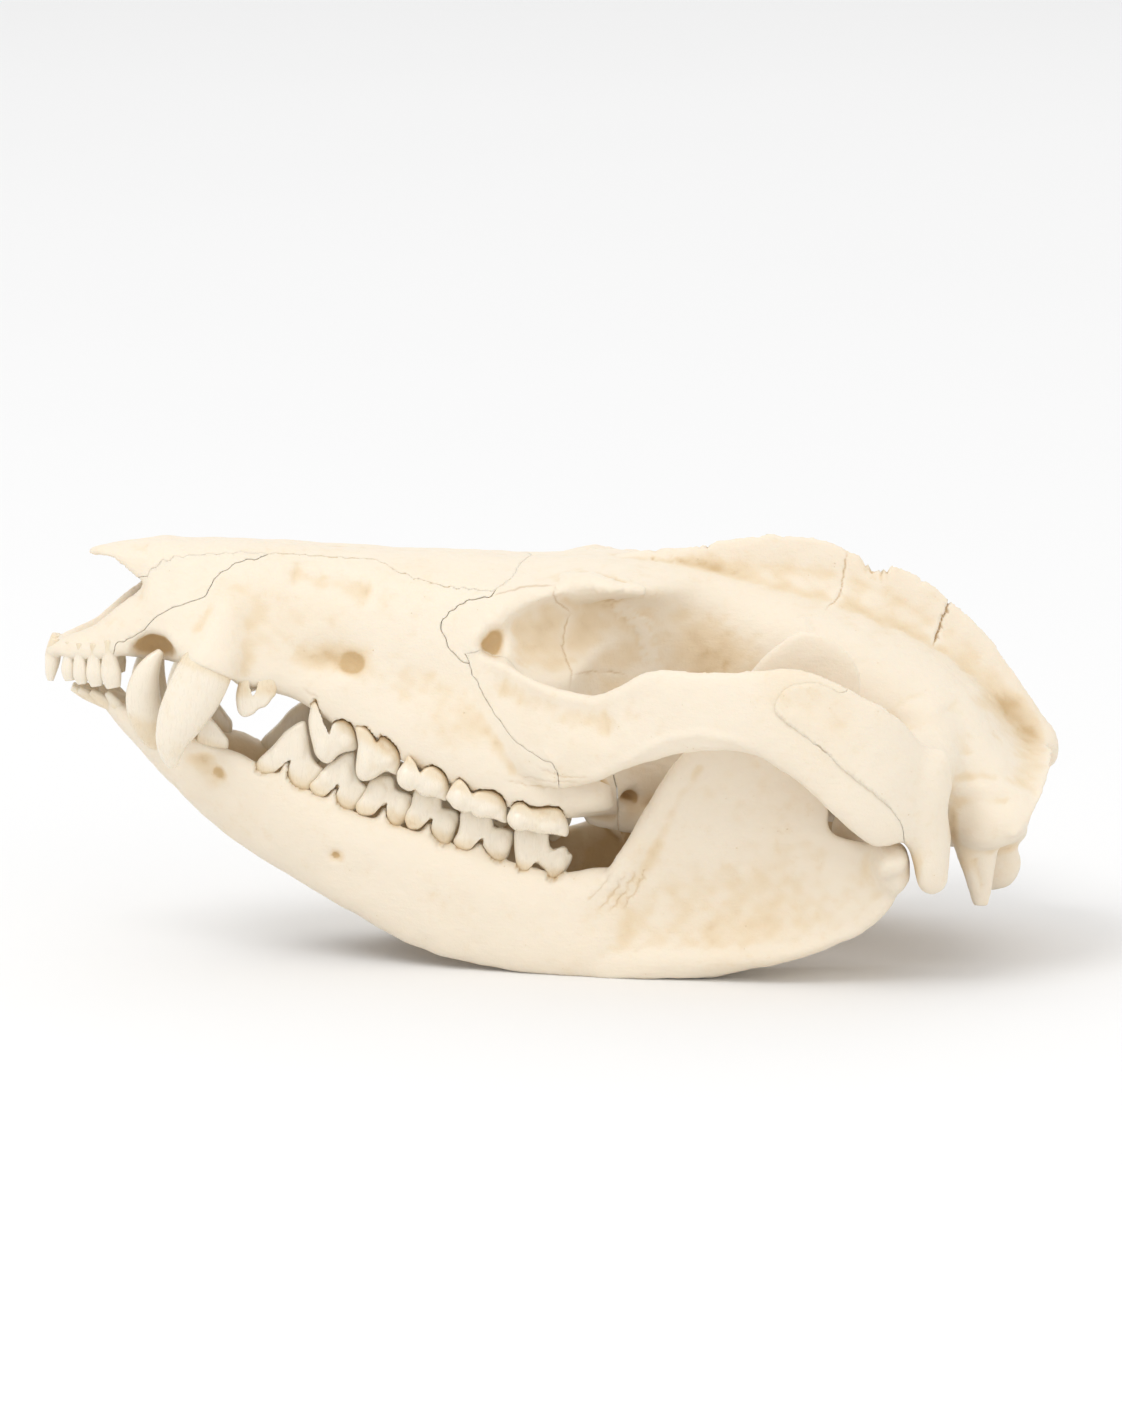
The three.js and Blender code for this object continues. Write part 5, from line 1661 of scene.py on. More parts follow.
    def build(self) -> None:
        """Builds the cranium, parts its bones and dresses them."""
        whole = self.grow()
        soften(whole, self.flowing)
        sculpt(whole, self.relief)
        seat(whole, UPPER_TEETH)
        sculpt(whole, self.brow_grain)
        self.roughen(whole)
        log.info("cranium skin: %d faces", len(whole.data.polygons))
        jugals = []
        for side in BOTH:
            jugal = whole.copy()
            jugal.data = whole.data.copy()
            bpy.context.scene.collection.objects.link(jugal)
            carve(jugal, self.jugal_room(side, 0.0, JUGAL_GAP), Cut.SHARED)
            jugals.append(jugal)
        for side in BOTH:
            carve(whole, self.jugal_room(side, SUTURE_GAP / 2, JUGAL_GAP))
        nasals = whole.copy()
        nasals.data = whole.data.copy()
        bpy.context.scene.collection.objects.link(nasals)
        carve(nasals, self.nasal_block(0.0), Cut.SHARED)
        carve(whole, self.nasal_block(SUTURE_GAP / 2))
        carve(whole, self.seams["premaxilla"].make(gap=SNOUT_GAP))
        carve(whole, self.seams["face"].make(gap=FACE_GAP))
        bodies = split_loose(whole)
        premaxillae = body_at(bodies, (-59.0, 43.0, 3.6))
        maxillae = body_at(bodies, (-30.0, 44.0, 9.4))
        braincase = body_at(bodies, (20.0, 50.0, 4.0))
        discard(bodies)
        sculpt(braincase, [self.stuck_on])
        self.finish_piece(braincase, "braincase")
        self.finish_piece(nasals, "nasal_bones")
        self.finish_piece(maxillae, "maxillae")
        self.finish_piece(premaxillae, "premaxillae")
        for jugal, name in zip(jugals, ("jugal_left", "jugal_right")):
            self.finish_piece(jugal, name)

    def finish_piece(self, obj: bpy.types.Object, node: str) -> None:
        """Engraves, paints and dresses one bone.

        Args:
            obj: The bone.
            node: The node that it stands for.
        """
        refine(obj, self.cracks, 0.4)
        sculpt(obj, self.cracks)
        paint_bone(obj, self.shade_and_stain_patches, self.cracks)
        dress(obj, self.finish, node, f"{node}_bone")


def paint_bone(obj: bpy.types.Object, shade_and_stain_patches: Sequence[Patch], cracks: Sequence[Stroke]) -> None:
    """Paints what the bone's finish reads: painted shade in hollows and creases, the warmer patches and the
    dark seams.

    Args:
        obj: The bone.
        shade_and_stain_patches: Where it is warmer, mostly painted shade in pits and hollows, some of it
            staining.
        cracks: Where it is dark.
    """
    x, v, w = VIEW.flatten(read_points(obj))
    hollow = hollowness(obj, 24)
    fine = hollowness(obj, 3)
    # Painted shade: hollows and fine creases are painted warmer and browner, then the warmer patches are added.
    stain_and_shade = 1.6 * hollow + 3.0 * np.maximum(fine, 0)
    stain_and_shade += sum(patch.lift(x, v, w) for patch in shade_and_stain_patches)
    # Painted shade: faces turned to the midline low on the skull, the insides between the jaws, are painted
    # tan.
    facing = np.sign(read_points(obj)[:, 1]) * read_normals(obj)[:, 1]
    stain_and_shade += np.where((w > 1.5) & (v < 30), np.clip(-0.9 * facing, 0, 0.75), 0)
    dark_line_and_groove_shade = np.zeros(len(x))
    for crack in cracks:
        dark_line_and_groove_shade = np.maximum(dark_line_and_groove_shade, crack.dark * crack.cover(x, v, w))
    paint(obj, "stain_and_shade", stain_and_shade)
    paint(obj, "dark_line_and_groove_shade", dark_line_and_groove_shade)


@dataclass(frozen=True)
class Peg:
    """A tooth with one root.

    Attributes:
        rows: x, v, w and two half breadths from the root to the tip.
    """

    rows: Rows

    def make(self, side: int) -> list[bpy.types.Object]:
        """Builds the tooth on one side."""
        return [rod("peg", self.rows, 22, 26, side)]


@dataclass(frozen=True)
class CheekTooth:
    """A tooth with two roots, drawn by its outline.

    Attributes:
        w: Distance off the midline.
        half: Half the breadth across the jaw.
        outline: The crown and the roots in the side view, as x and v.
        cusps: Swellings of the outer face, as x, v and half sizes along and up.
        inner: How far inwards a molar's inner half stands, or 0 for none.
    """

    w: float
    half: float
    outline: Line
    cusps: Rows = ()
    inner: float = 0.0

    def make(self, side: int) -> list[bpy.types.Object]:
        """Builds the tooth.

        Args:
            side: LEFT or RIGHT.

        Returns:
            The bodies that grow together into it.
        """
        cusp_off, cusp_half = 0.42 * self.half, 0.72 * self.half
        made = [cushion("crown", self.outline, self.w, self.half, side)]
        for x, v, along, up in self.cusps:
            cusp = Bulb((x, v, self.w + cusp_off), (along, cusp_half, up))
            made.append(cusp.make("cusp", side))
        if self.inner:
            half = self.inner / 2
            made.append(cushion("inner", self.outline, self.w - half, half, side))
        return made

    def covers(self, x: np.ndarray, v: np.ndarray) -> np.ndarray:
        """How far side-view places lie within the outline, from 0 to 1."""
        rim = 0.14
        within = np.zeros(len(x), bool)
        for (x0, v0), (x1, v1) in zip(self.outline, (*self.outline[1:], self.outline[0])):
            if v0 != v1:
                within ^= ((v0 > v) != (v1 > v)) & (x < x0 + (x1 - x0) * (v - v0) / (v1 - v0))
        far, _ = line_distance(x, v, (*self.outline, self.outline[0]))
        return np.where(within, 1.0, np.clip(1 - far / rim, 0, 1))


def seat(bone: bpy.types.Object, teeth: Sequence[Peg | CheekTooth]) -> None:
    """Sinks the bone behind its cheek teeth, so that each stands in a socket.

    Args:
        bone: The bone.
        teeth: The teeth that grow from it.
    """
    room, deepest = 0.1, 3.5
    points = read_points(bone)
    side = np.sign(points[:, 1])
    for tooth in teeth:
        if isinstance(tooth, CheekTooth) and tooth.cusps:
            x, v, w = VIEW.flatten(points)
            over = w - (tooth.w - room)
            sunk = np.where(over < deepest, np.clip(over, 0, deepest), 0) * tooth.covers(x, v)
            points[:, 1] -= side * sunk * UNIT
    write_points(bone, points)


UPPER_INCISORS: tuple[Peg, ...] = (
    Peg(
        (
            (-62.3, 42.4, 1.5, 0.8, 0.8),
            (-62.7, 40.8, 1.5, 0.95, 0.85),
            (-63.0, 38.8, 1.5, 0.9, 0.7),
            (-63.1, 37.1, 1.5, 0.4, 0.35),
        ),
    ),
    Peg(
        (
            (-60.7, 42.0, 3.3, 0.6, 0.7),
            (-60.8, 40.2, 3.3, 0.7, 0.75),
            (-60.8, 38.4, 3.4, 0.95, 0.75),
            (-60.7, 37.1, 3.4, 0.6, 0.4),
        ),
    ),
    Peg(
        (
            (-59.3, 41.8, 4.2, 0.65, 0.75),
            (-59.4, 40.0, 4.2, 0.75, 0.8),
            (-59.3, 38.0, 4.3, 1.0, 0.8),
            (-59.1, 36.7, 4.3, 0.6, 0.4),
        ),
    ),
    Peg(
        (
            (-57.5, 41.8, 4.9, 0.75, 0.8),
            (-57.6, 40.0, 4.9, 0.85, 0.85),
            (-57.5, 37.9, 5.0, 1.15, 0.85),
            (-57.3, 36.4, 5.0, 0.7, 0.4),
        ),
    ),
    Peg(
        (
            (-55.7, 42.2, 5.5, 0.8, 0.85),
            (-55.7, 40.2, 5.5, 0.95, 0.9),
            (-55.5, 37.9, 5.6, 1.3, 0.9),
            (-55.2, 36.2, 5.6, 0.9, 0.45),
        ),
    ),
)
UPPER_TEETH: tuple[Peg | CheekTooth, ...] = (
    Peg(
        (
            (-41.9, 41.8, 9.9, 2.6, 1.8),
            (-43.6, 38.6, 10.7, 3.4, 2.4),
            (-45.2, 35.4, 11.2, 3.45, 2.3),
            (-46.9, 32.3, 11.5, 2.95, 2.1),
            (-47.9, 29.9, 11.5, 2.2, 1.7),
            (-48.1, 27.9, 11.4, 1.45, 1.2),
            (-47.9, 26.2, 11.3, 0.5, 0.5),
        )
    ),
    CheekTooth(
        9.3,
        0.95,
        (
            (-39.3, 37.6), (-39.9, 35.6), (-39.9, 34.4), (-39.7, 33.3), (-39.2, 32.7),
            (-38.6, 32.6), (-37.7, 33.0), (-37.1, 33.6), (-36.4, 33.8), (-35.9, 34.2),
            (-35.4, 34.9), (-34.9, 35.6), (-35.0, 37.6), (-36.9, 37.4), (-37.3, 36.2),
            (-37.6, 35.4), (-37.9, 35.1), (-38.2, 35.3), (-38.3, 36.2), (-38.4, 37.4),
        ),
    ),
    CheekTooth(
        9.3,
        1.2,
        (
            (-30.5, 34.3), (-30.7, 33.3), (-30.9, 32.0), (-30.7, 30.5), (-30.4, 29.2),
            (-30.1, 28.0), (-29.5, 27.2), (-28.8, 26.8), (-28.1, 26.9), (-27.4, 27.6),
            (-26.6, 28.1), (-25.6, 28.3), (-24.9, 28.5), (-24.7, 29.1), (-24.9, 30.2),
            (-25.4, 31.4), (-26.4, 32.2), (-27.6, 32.0), (-28.1, 31.1), (-28.2, 30.4),
            (-28.5, 30.1), (-28.8, 30.4), (-29.0, 31.4), (-29.4, 32.6), (-29.7, 33.8),
            (-30.0, 34.6),
        ),
        ((-29.0, 29.0, 1.2, 1.9), (-26.3, 29.7, 1.4, 1.2)),
    ),
    CheekTooth(
        11.0,
        1.35,
        (
            (-25.0, 31.4), (-24.7, 29.2), (-24.9, 27.5), (-25.0, 26.0), (-24.8, 25.1),
            (-24.2, 24.6), (-23.6, 24.6), (-22.9, 24.8), (-22.2, 25.2), (-21.4, 25.7),
            (-20.8, 25.7), (-20.2, 25.4), (-19.8, 25.4), (-19.5, 26.2), (-19.4, 27.2),
            (-19.7, 28.4), (-20.8, 29.7), (-21.8, 30.2), (-22.3, 29.5), (-22.9, 30.4),
            (-23.8, 31.4),
        ),
        ((-23.6, 27.0, 1.1, 2.1), (-21.0, 27.3, 1.2, 1.1)),
    ),
    CheekTooth(
        13.6,
        1.6,
        (
            (-19.9, 25.3), (-19.6, 26.1), (-18.9, 27.0), (-18.4, 27.8), (-17.6, 27.0),
            (-17.0, 25.7), (-16.4, 26.2), (-15.4, 26.5), (-14.4, 26.0), (-13.7, 25.2),
            (-13.3, 24.0), (-13.3, 22.9), (-13.7, 22.1), (-14.4, 22.3), (-15.4, 22.6),
            (-16.3, 22.6), (-17.0, 22.9), (-17.6, 23.5), (-18.2, 23.3), (-19.0, 23.6),
            (-19.6, 24.4),
        ),
        ((-18.5, 25.0, 1.35, 1.5), (-15.3, 24.1, 1.8, 1.5)),
        3.4,
    ),
    CheekTooth(
        15.4,
        1.7,
        (
            (-13.7, 22.4), (-13.4, 23.3), (-12.8, 24.3), (-12.0, 24.9), (-11.2, 24.2),
            (-10.5, 23.1), (-9.6, 23.4), (-8.2, 23.4), (-7.0, 22.9), (-6.3, 22.0), (-6.0, 20.8),
            (-6.1, 19.4), (-6.7, 19.4), (-7.6, 19.8), (-8.6, 19.9), (-9.6, 19.9), (-10.3, 20.3),
            (-10.7, 20.7), (-11.2, 20.6), (-12.0, 20.8), (-12.9, 21.5),
        ),
        ((-11.9, 22.4, 1.4, 1.5), (-8.4, 21.3, 2.0, 1.3)),
        3.6,
    ),
    CheekTooth(
        16.5,
        1.7,
        (
            (-6.1, 20.0), (-5.8, 20.8), (-5.2, 21.8), (-4.2, 22.0), (-3.2, 21.3), (-2.2, 21.2),
            (-0.6, 21.3), (0.6, 21.1), (1.2, 20.2), (1.6, 19.2), (1.7, 18.2), (1.4, 17.6),
            (0.6, 17.7), (-0.6, 17.9), (-1.8, 17.9), (-2.9, 18.2), (-3.6, 18.4), (-4.4, 18.2),
            (-5.2, 18.5), (-5.9, 19.2),
        ),
        ((-4.4, 19.7, 1.4, 1.25), (-0.8, 19.1, 2.1, 1.15)),
        3.6,
    ),
)
LOWER_TEETH: tuple[Peg | CheekTooth, ...] = (
    Peg(((-56.6, 34.4, 1.0, 0.6, 0.55), (-58.6, 35.4, 1.0, 0.7, 0.6), (-60.5, 36.3, 1.0, 0.4, 0.4))),
    Peg(((-55.8, 34.0, 2.0, 0.6, 0.55), (-57.8, 35.1, 2.0, 0.7, 0.6), (-59.6, 36.1, 2.0, 0.4, 0.4))),
    Peg(((-54.8, 33.4, 2.9, 0.65, 0.6), (-56.5, 34.7, 2.9, 0.75, 0.6), (-58.1, 35.8, 2.9, 0.4, 0.4))),
    Peg(((-53.6, 32.6, 3.6, 0.65, 0.6), (-54.9, 34.2, 3.6, 0.75, 0.6), (-56.1, 35.7, 3.6, 0.4, 0.4))),
    Peg(
        (
            (-48.6, 28.8, 5.2, 1.6, 1.3),
            (-50.6, 31.4, 5.9, 2.1, 1.7),
            (-51.5, 34.5, 6.4, 2.25, 1.7),
            (-51.3, 37.2, 6.9, 1.85, 1.5),
            (-50.4, 39.3, 7.1, 1.2, 1.0),
            (-49.2, 40.9, 7.1, 0.45, 0.45),
        )
    ),
    CheekTooth(
        6.3,
        0.8,
        (
            (-44.8, 28.2), (-44.9, 29.6), (-44.5, 31.4), (-43.9, 32.6), (-43.3, 32.7),
            (-42.5, 31.9), (-41.6, 30.7), (-40.9, 29.6), (-41.2, 28.2), (-42.8, 27.4),
        ),
    ),
    CheekTooth(
        7.4,
        1.15,
        (
            (-37.5, 26.7), (-37.0, 27.5), (-36.0, 28.4), (-35.0, 29.4), (-34.0, 30.6),
            (-33.0, 31.4), (-32.0, 32.0), (-31.3, 32.1), (-31.0, 31.4), (-30.8, 30.2),
            (-30.6, 28.6), (-30.2, 27.3), (-29.5, 26.5), (-28.9, 26.0), (-29.1, 25.5),
            (-30.0, 24.5), (-30.8, 23.4), (-31.8, 23.4), (-32.9, 24.0), (-33.5, 25.2),
            (-33.4, 26.4), (-33.1, 27.2), (-33.2, 27.8), (-33.7, 27.9), (-34.4, 27.1),
            (-35.0, 25.8), (-36.4, 25.4), (-37.4, 25.8),
        ),
        ((-32.2, 28.6, 1.3, 2.6), (-34.8, 27.6, 1.1, 1.4)),
    ),
    CheekTooth(
        8.2,
        1.2,
        (
            (-30.8, 24.0), (-30.0, 24.9), (-29.2, 25.9), (-28.3, 26.8), (-27.4, 27.4),
            (-26.4, 28.1), (-25.4, 28.3), (-25.0, 27.9), (-24.9, 26.6), (-24.7, 25.4),
            (-24.3, 24.5), (-23.5, 23.8), (-23.4, 23.2), (-24.0, 22.4), (-24.6, 21.4),
            (-25.4, 20.8), (-26.6, 21.0), (-27.4, 22.0), (-27.5, 22.9), (-27.1, 23.7),
            (-27.1, 24.2), (-27.5, 24.3), (-28.2, 23.6), (-29.0, 22.6), (-30.2, 22.8),
        ),
        ((-26.2, 25.2, 1.2, 2.4), (-28.6, 24.8, 1.1, 1.3)),
    ),
    CheekTooth(
        9.2,
        1.4,
        (
            (-25.0, 21.6), (-24.3, 22.6), (-23.7, 23.6), (-23.3, 24.5), (-22.6, 25.1),
            (-21.2, 25.4), (-20.2, 25.0), (-20.0, 23.9), (-19.4, 23.4), (-18.4, 23.1),
            (-17.8, 22.6), (-17.8, 21.7), (-18.2, 20.6), (-18.8, 19.4), (-19.6, 18.8),
            (-20.5, 19.0), (-21.1, 20.0), (-21.1, 20.8), (-20.9, 21.6), (-21.1, 22.1),
            (-21.6, 22.1), (-22.2, 21.2), (-22.9, 20.3), (-24.2, 20.2), (-24.9, 20.7),
        ),
        ((-19.3, 21.4, 1.25, 1.9), (-22.0, 23.2, 1.4, 1.8)),
    ),
    CheekTooth(
        10.6,
        1.5,
        (
            (-18.9, 19.8), (-18.6, 20.7), (-18.1, 21.6), (-17.9, 22.6), (-17.5, 23.6),
            (-16.4, 24.0), (-14.9, 23.7), (-14.3, 22.6), (-14.1, 21.3), (-13.3, 21.1),
            (-12.5, 20.9), (-12.0, 20.2), (-12.1, 19.3), (-12.5, 18.2), (-12.9, 17.0),
            (-13.6, 16.3), (-14.6, 16.7), (-15.4, 17.8), (-15.6, 18.8), (-15.3, 19.5),
            (-15.5, 19.9), (-15.9, 20.0), (-16.4, 19.3), (-17.2, 18.5), (-18.4, 18.6),
        ),
        ((-13.7, 19.3, 1.35, 1.9), (-16.3, 21.6, 1.5, 2.0)),
    ),
    CheekTooth(
        12.0,
        1.5,
        (
            (-12.8, 17.0), (-12.3, 18.0), (-12.0, 19.2), (-11.9, 20.6), (-11.2, 21.5), (-9.8, 21.8),
            (-8.4, 21.4), (-7.9, 20.2), (-7.7, 19.0), (-7.0, 18.7), (-6.0, 18.6), (-5.3, 18.2),
            (-5.2, 17.3), (-5.6, 16.0), (-6.0, 14.9), (-6.9, 14.2), (-7.8, 14.6), (-8.6, 15.6),
            (-9.1, 16.5), (-9.0, 17.1), (-9.4, 17.4), (-9.8, 17.2), (-10.3, 16.4), (-11.0, 15.8),
            (-12.2, 16.0),
        ),
        ((-6.9, 16.9, 1.4, 1.9), (-10.0, 19.2, 1.6, 2.1)),
    ),
    CheekTooth(
        13.2,
        1.45,
        (
            (-4.9, 14.0), (-5.1, 15.4), (-5.2, 17.0), (-5.1, 18.4), (-4.2, 19.0), (-2.4, 19.1),
            (-1.0, 18.5), (-0.8, 17.2), (-0.6, 16.3), (0.1, 16.0), (0.8, 16.4), (1.4, 16.2),
            (1.7, 15.6), (2.1, 15.3), (2.0, 14.5), (1.5, 13.6), (0.8, 12.7), (-0.2, 12.0),
            (-0.8, 12.3), (-1.2, 13.2), (-1.8, 13.8), (-2.5, 14.3), (-3.1, 13.9), (-3.7, 13.1),
            (-4.4, 13.1),
        ),
        ((0.4, 14.6, 1.2, 1.6), (-3.0, 16.6, 1.6, 2.1)),
    ),
)
UPPER_GUM: Line = (
    (-64.0, 41.2), (-54.0, 41.0), (-50.0, 40.0), (-46.8, 39.6), (-41.0, 37.6), (-39.7, 35.8),
    (-34.7, 35.8), (-30.7, 34.9), (-25.0, 30.6), (-19.0, 27.3), (-13.0, 24.2), (-6.0, 21.6),
    (1.5, 20.0),
)
LOWER_GUM: Line = (
    (-58.0, 35.2), (-52.0, 31.8), (-48.0, 30.4), (-44.0, 29.6), (-37.4, 26.5), (-30.6, 23.9),
    (-25.0, 21.3), (-19.0, 19.9), (-13.0, 16.9), (-6.0, 14.6), (0.5, 12.4),
)


@dataclass
class TeethRow:
    """The teeth of one side that grow from one bone."""

    name: str
    node: str
    teeth: tuple[Peg | CheekTooth, ...]
    gum: Line
    down: bool
    finish: bpy.types.Material
    neck_reach: float = 1.6

    def build(self, side: int) -> bpy.types.Object:
        """Builds and paints the teeth of one side.

        Args:
            side: LEFT or RIGHT.

        Returns:
            All the teeth as one object.
        """
        made = []
        for tooth in self.teeth:
            crown = fuse(tooth.make(side), "tooth")
            grow_together(crown, TOOTH_GRAIN, 3)
            made.append(crown)
        row = fuse(made, self.name)
        x, v, _ = VIEW.flatten(read_points(row))
        gum = np.interp(x, [p[0] for p in self.gum], [p[1] for p in self.gum])
        out = (gum - v) if self.down else (v - gum)
        neck = np.clip(1 - out / self.neck_reach, 0, 1)
        hollow = hollowness(row, 10)
        # Tan necks near the gum, and painted shade in the hollows.
        paint(row, "stain_and_shade", 0.55 * neck**1.5 + 2.5 * np.maximum(hollow, 0))
        # Painted shade: the deeper hollows between cusps and teeth are painted dark brown.
        paint(row, "dark_line_and_groove_shade", np.clip(6.0 * (hollow - 0.07), 0, 0.5))
        return row

    def build_pair(self) -> None:
        """Builds the left teeth, mirrors them and dresses both rows."""
        left = self.build(LEFT)
        right = mirrored(left, f"{self.name}_right")
        nodes = (self.node.format("left"), self.node.format("right"))
        for row, node, word in zip((left, right), nodes, ("left", "right")):
            dress(row, self.finish, node, f"{self.name}_{word}")


@dataclass
class Mandible:
    """One half of the lower jaw, built on the left and mirrored."""

    finish: bpy.types.Material
    flowing: Patch = Patch((40.6, 13.8, 23.6), (4.6, 5.4, 7.0), 1.3)
    mental: Bulb = Bulb((-42.3, 25.4, 8.9), (1.5, 1.25, 1.1), 0.75, 0.35)
    rear_mental: Bulb = Bulb((-27.6, 15.3, 10.7), (0.8, 0.9, 0.75), 0.2, 0.35)
    symphysis: float = 0.15
    septum: Place = (0.85, 1.9, 1.9)
    septa: tuple[Place, ...] = (
        (-33.6, 25.5, 7.4),
        (-27.5, 22.0, 8.2),
        (-21.4, 19.7, 9.2),
        (-15.8, 17.6, 10.6),
        (-9.5, 15.1, 12.0),
        (-2.5, 12.1, 13.2),
    )
    relief: tuple[Relief, ...] = (
        *WEATHERED,
        # Front edge of the ramus and its groove, the dent before the mental foramen.
        Stroke(
            ((19.3, 27.9), (16.2, 24.1), (13.9, 19.8), (11.8, 14.1), (8.7, 9.8)),
            -0.2, 1.1, (17, 99),
        ),
        Patch((-44.3, 27.4, 7.0), (2.6, 1.7, 3.0), -0.9),
        Stroke(
            ((17.2, 27.9), (13.9, 23.2), (11.6, 18.8), (8.6, 13.6), (4.0, 9.6)),
            0.45, 1.5, (15, 99),
        ),
        # Border of the angle, neck of the condyle, swelling of the tooth roots, hollows of the ramus.
        Stroke(((24.0, 1.2), (30.0, 2.4), (38.0, 5.6), (43.2, 11.0)), 0.35, 0.8, (18, 99)),
        Stroke(((41.0, 12.0), (41.4, 15.2), (40.6, 17.6)), 0.3, 0.7, (22, 99)),
        Stroke(((-38.0, 22.0), (-28.0, 17.6), (-14.0, 12.0), (0.0, 8.0)), 0.25, 2.4, (8, 99)),
        Patch((24.0, 12.0, 21.0), (9.0, 6.0, 4.0), -0.5),
        Patch((26.0, 30.0, 22.0), (6.0, 7.0, 4.0), -0.25),
    )
    scratches: tuple[Stroke, ...] = (
        Stroke(((8.8, 13.0), (7.2, 10.4), (5.4, 8.4)), -0.1, 0.14, (15, 99), 0.12, 0.16),
        Stroke(((10.2, 13.4), (8.8, 10.8), (6.8, 8.2)), -0.1, 0.14, (15, 99), 0.12, 0.16),
        Stroke(((11.4, 13.6), (10.2, 11.0), (8.4, 8.6)), -0.1, 0.14, (15, 99), 0.12, 0.16),
        Stroke(((7.2, 13.2), (5.6, 11.0), (3.8, 9.4)), -0.1, 0.14, (15, 99), 0.12, 0.16),
    )
    # Warmer patches, mostly painted shade in the mental foramina and the hollows of the ramus, some of them
    # staining.
    shade_and_stain_patches: tuple[Patch, ...] = (
        Patch((-43.0, 25.5, 7.0), (1.8, 1.8, 3.0), 0.5),
        Patch((-27.0, 15.3, 10.0), (1.0, 1.0, 3.0), 0.6),
        Patch((-4.0, 13.2, 15.0), (4.0, 1.6, 4.0), 0.35),
        Patch((9.0, 11.0, 18.0), (4.0, 4.0, 4.0), 0.15),
        Patch((24.0, 6.0, 22.0), (8.0, 3.0, 4.0), 0.12),
    )

    def build(self) -> bpy.types.Object:
        """Builds and paints the left half.

        Returns:
            The bone.
        """
        forms = [
            ribbon("jaw_body", JAW_BODY, 110, 44),
            ribbon("ramus", RAMUS, 110, 56),
            self.angle_shelf(),
            *(bulb.make("condyle") for bulb in JAW_CONDYLE),
        ]
        forms += [Bulb(at, self.septum).make("septum") for at in self.septa]
        bone = fuse(forms, "mandible")
        grow_together(bone, BONE_GRAIN, 2)
        carve(bone, self.mental.make("mental"))
        carve(bone, self.rear_mental.make("mental"))
        grow_together(bone, BONE_GRAIN, 4)
        soften(bone, [self.flowing], 25)
        sculpt(bone, self.relief)
        seat(bone, LOWER_TEETH)
        refine(bone, self.scratches, 0.3)
        sculpt(bone, self.scratches)
        points = read_points(bone)
        points[:, 1] = np.minimum(points[:, 1], -self.symphysis * UNIT)
        points[:, 2] = np.maximum(points[:, 2], 0.0)
        write_points(bone, points)
        paint_bone(bone, self.shade_and_stain_patches, self.scratches)
        return bone

    def angle_shelf(self) -> bpy.types.Object:
        """Lofts the shelf that turns inwards at the angle of the jaw."""

        def wall(t: np.ndarray, angle: np.ndarray) -> np.ndarray:
            """The section at t."""
            x0, v0, w0, x1, v1, w1, thick0, thick1, _ = between(ANGLE, t).T
            h = (1 + np.cos(angle)) / 2
            off = np.sin(angle) * (thick0 + (thick1 - thick0) * h) / 2
            return VIEW.place(x0 + (x1 - x0) * h, v0 + (v1 - v0) * h + off, w0 + (w1 - w0) * h, LEFT)

        return loft("angle", 50, 36, wall)

    def build_pair(self) -> None:
        """Builds the left half, mirrors it and dresses both."""
        left = self.build()
        right = mirrored(left, "mandible_right_bone")
        for bone, node in ((left, "mandible_left"), (right, "mandible_right")):
            dress(bone, self.finish, node, f"{node}_bone")


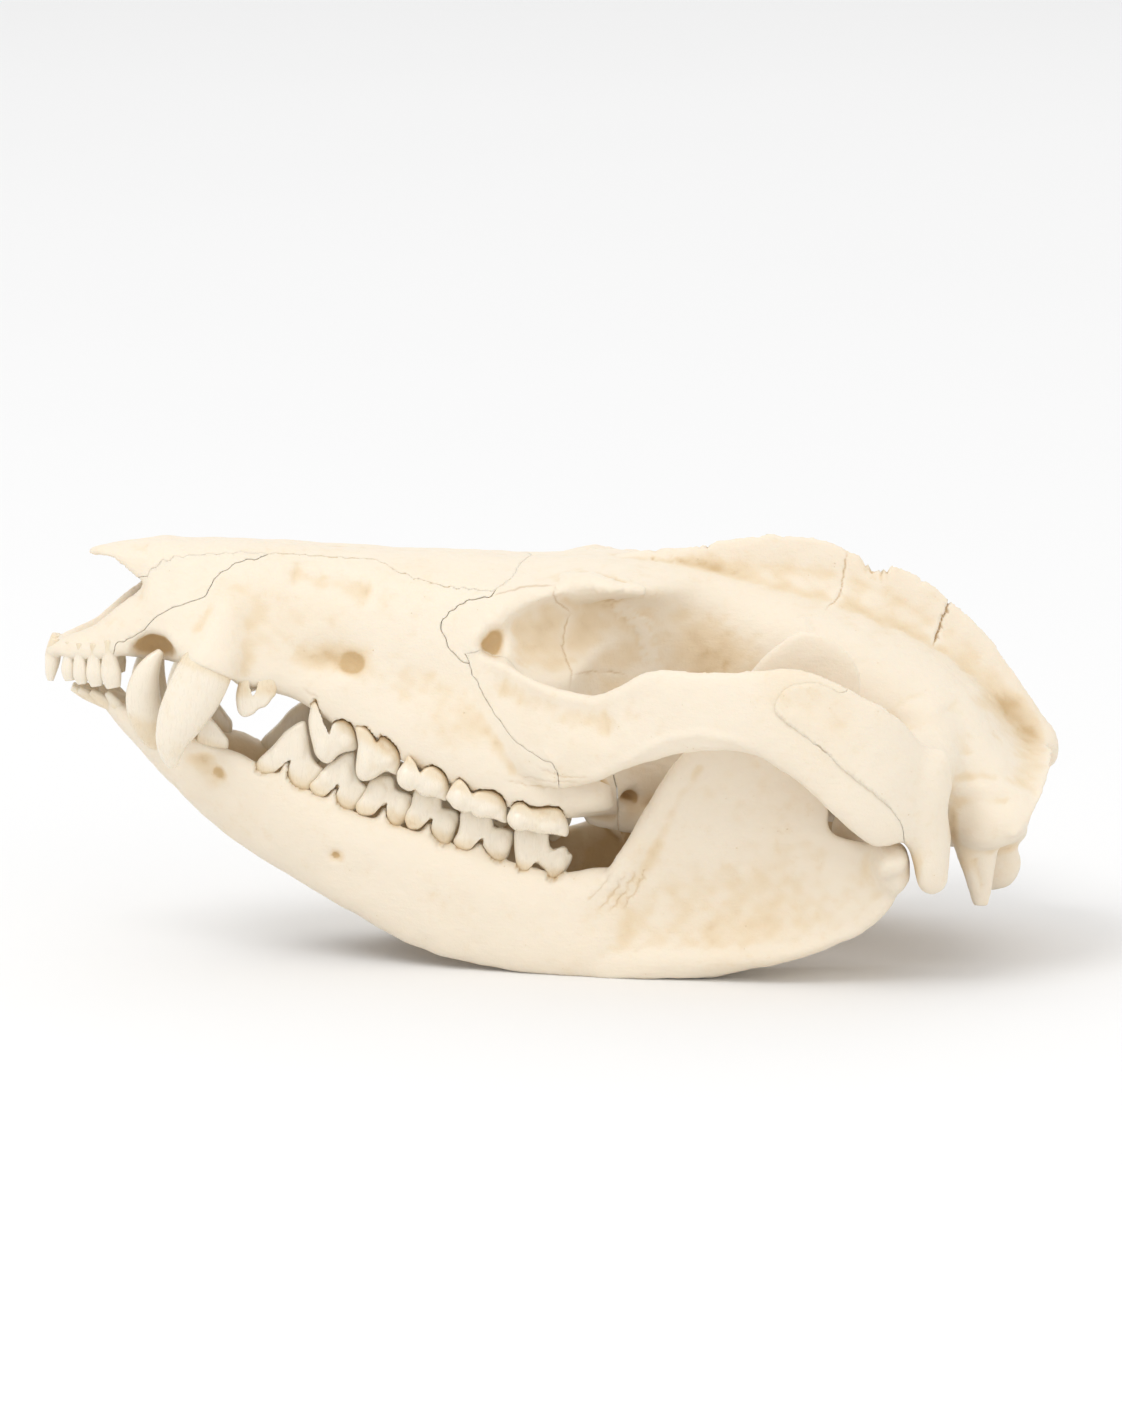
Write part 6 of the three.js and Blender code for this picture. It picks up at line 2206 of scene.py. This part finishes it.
@dataclass
class Studio:
    """The floor, the soft light and the camera at the photograph's place."""

    distance: float = 1.0
    target: Place = (0.00089, 0.0, 0.03154)
    frame_height: float = 0.17525
    floor_size: float = 8.0
    sky: float = 0.92
    lamps: tuple[tuple[str, Place, float, float], ...] = (
        ("key", (-0.55, -0.55, 1.1), 0.6, 4.7),
        ("fill", (0.7, -1.1, 0.35), 1.0, 2.2),
        ("back", (0.1, 1.0, 0.9), 1.0, 0.8),
    )

    def floor(self) -> None:
        """Lays the floor."""
        bpy.ops.mesh.primitive_plane_add(size=self.floor_size)
        obj = alone(bpy.context.object)
        obj.name = "floor"
        bpy.ops.object.mode_set(mode="EDIT")
        bpy.ops.mesh.select_all(action="SELECT")
        bpy.ops.mesh.subdivide(number_cuts=4)
        bpy.ops.object.mode_set(mode="OBJECT")
        obj.data.materials.append(FloorFinish().make())

    def lamp(self, name: str, at: Place, size: float, power: float) -> None:
        """Adds a soft lamp that looks at the skull.

        Args:
            name: Name of the lamp.
            at: Its place in metres.
            size: Edge of its square in metres.
            power: In watts.
        """
        bpy.ops.object.light_add(type="AREA", location=at)
        lamp = bpy.context.object
        lamp.name = name
        lamp.data.size = size
        lamp.data.energy = power
        aim = (lamp.location - type(lamp.location)(self.target)).to_track_quat("Z", "Y")
        lamp.rotation_euler = aim.to_euler()

    def build(self) -> None:
        """Sets up everything round the skull."""
        self.floor()
        for lamp in self.lamps:
            self.lamp(*lamp)
        world = bpy.data.worlds.new("soft_sky")
        world.use_nodes = True
        light = world.node_tree.nodes["Background"]
        light.inputs["Color"].default_value = (1.0, 1.0, 1.0, 1.0)
        light.inputs["Strength"].default_value = self.sky
        bpy.context.scene.world = world
        bpy.context.scene.view_settings.view_transform = "Standard"
        tilt = VIEW.tilt
        x, y, z = self.target
        data = bpy.data.cameras.new("camera")
        camera = bpy.data.objects.new("camera", data)
        bpy.context.scene.collection.objects.link(camera)
        back, up = self.distance * math.cos(tilt), self.distance * math.sin(tilt)
        camera.location = (x, y - back, z + up)
        camera.rotation_euler = (math.pi / 2 - tilt, 0.0, 0.0)
        data.sensor_width = 36.0
        data.lens = data.sensor_width * self.distance / self.frame_height
        data.clip_start = 0.01
        data.clip_end = 20.0
        bpy.context.scene.camera = camera


def main() -> None:
    """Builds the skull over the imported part."""
    logging.basicConfig(level=logging.INFO, format="%(name)s: %(message)s")
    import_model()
    bone = BoneFinish().make()
    enamel = EnamelFinish().make()
    Cranium(bone).build()
    Mandible(bone).build_pair()
    TeethRow("upper_incisors", "premaxillae", UPPER_INCISORS, UPPER_GUM, True, enamel).build_pair()
    TeethRow("upper_teeth", "maxillae", UPPER_TEETH, UPPER_GUM, True, enamel).build_pair()
    TeethRow("lower_teeth", "mandible_{}", LOWER_TEETH, LOWER_GUM, False, enamel).build_pair()
    Studio().build()


if __name__ == "__main__":
    main()
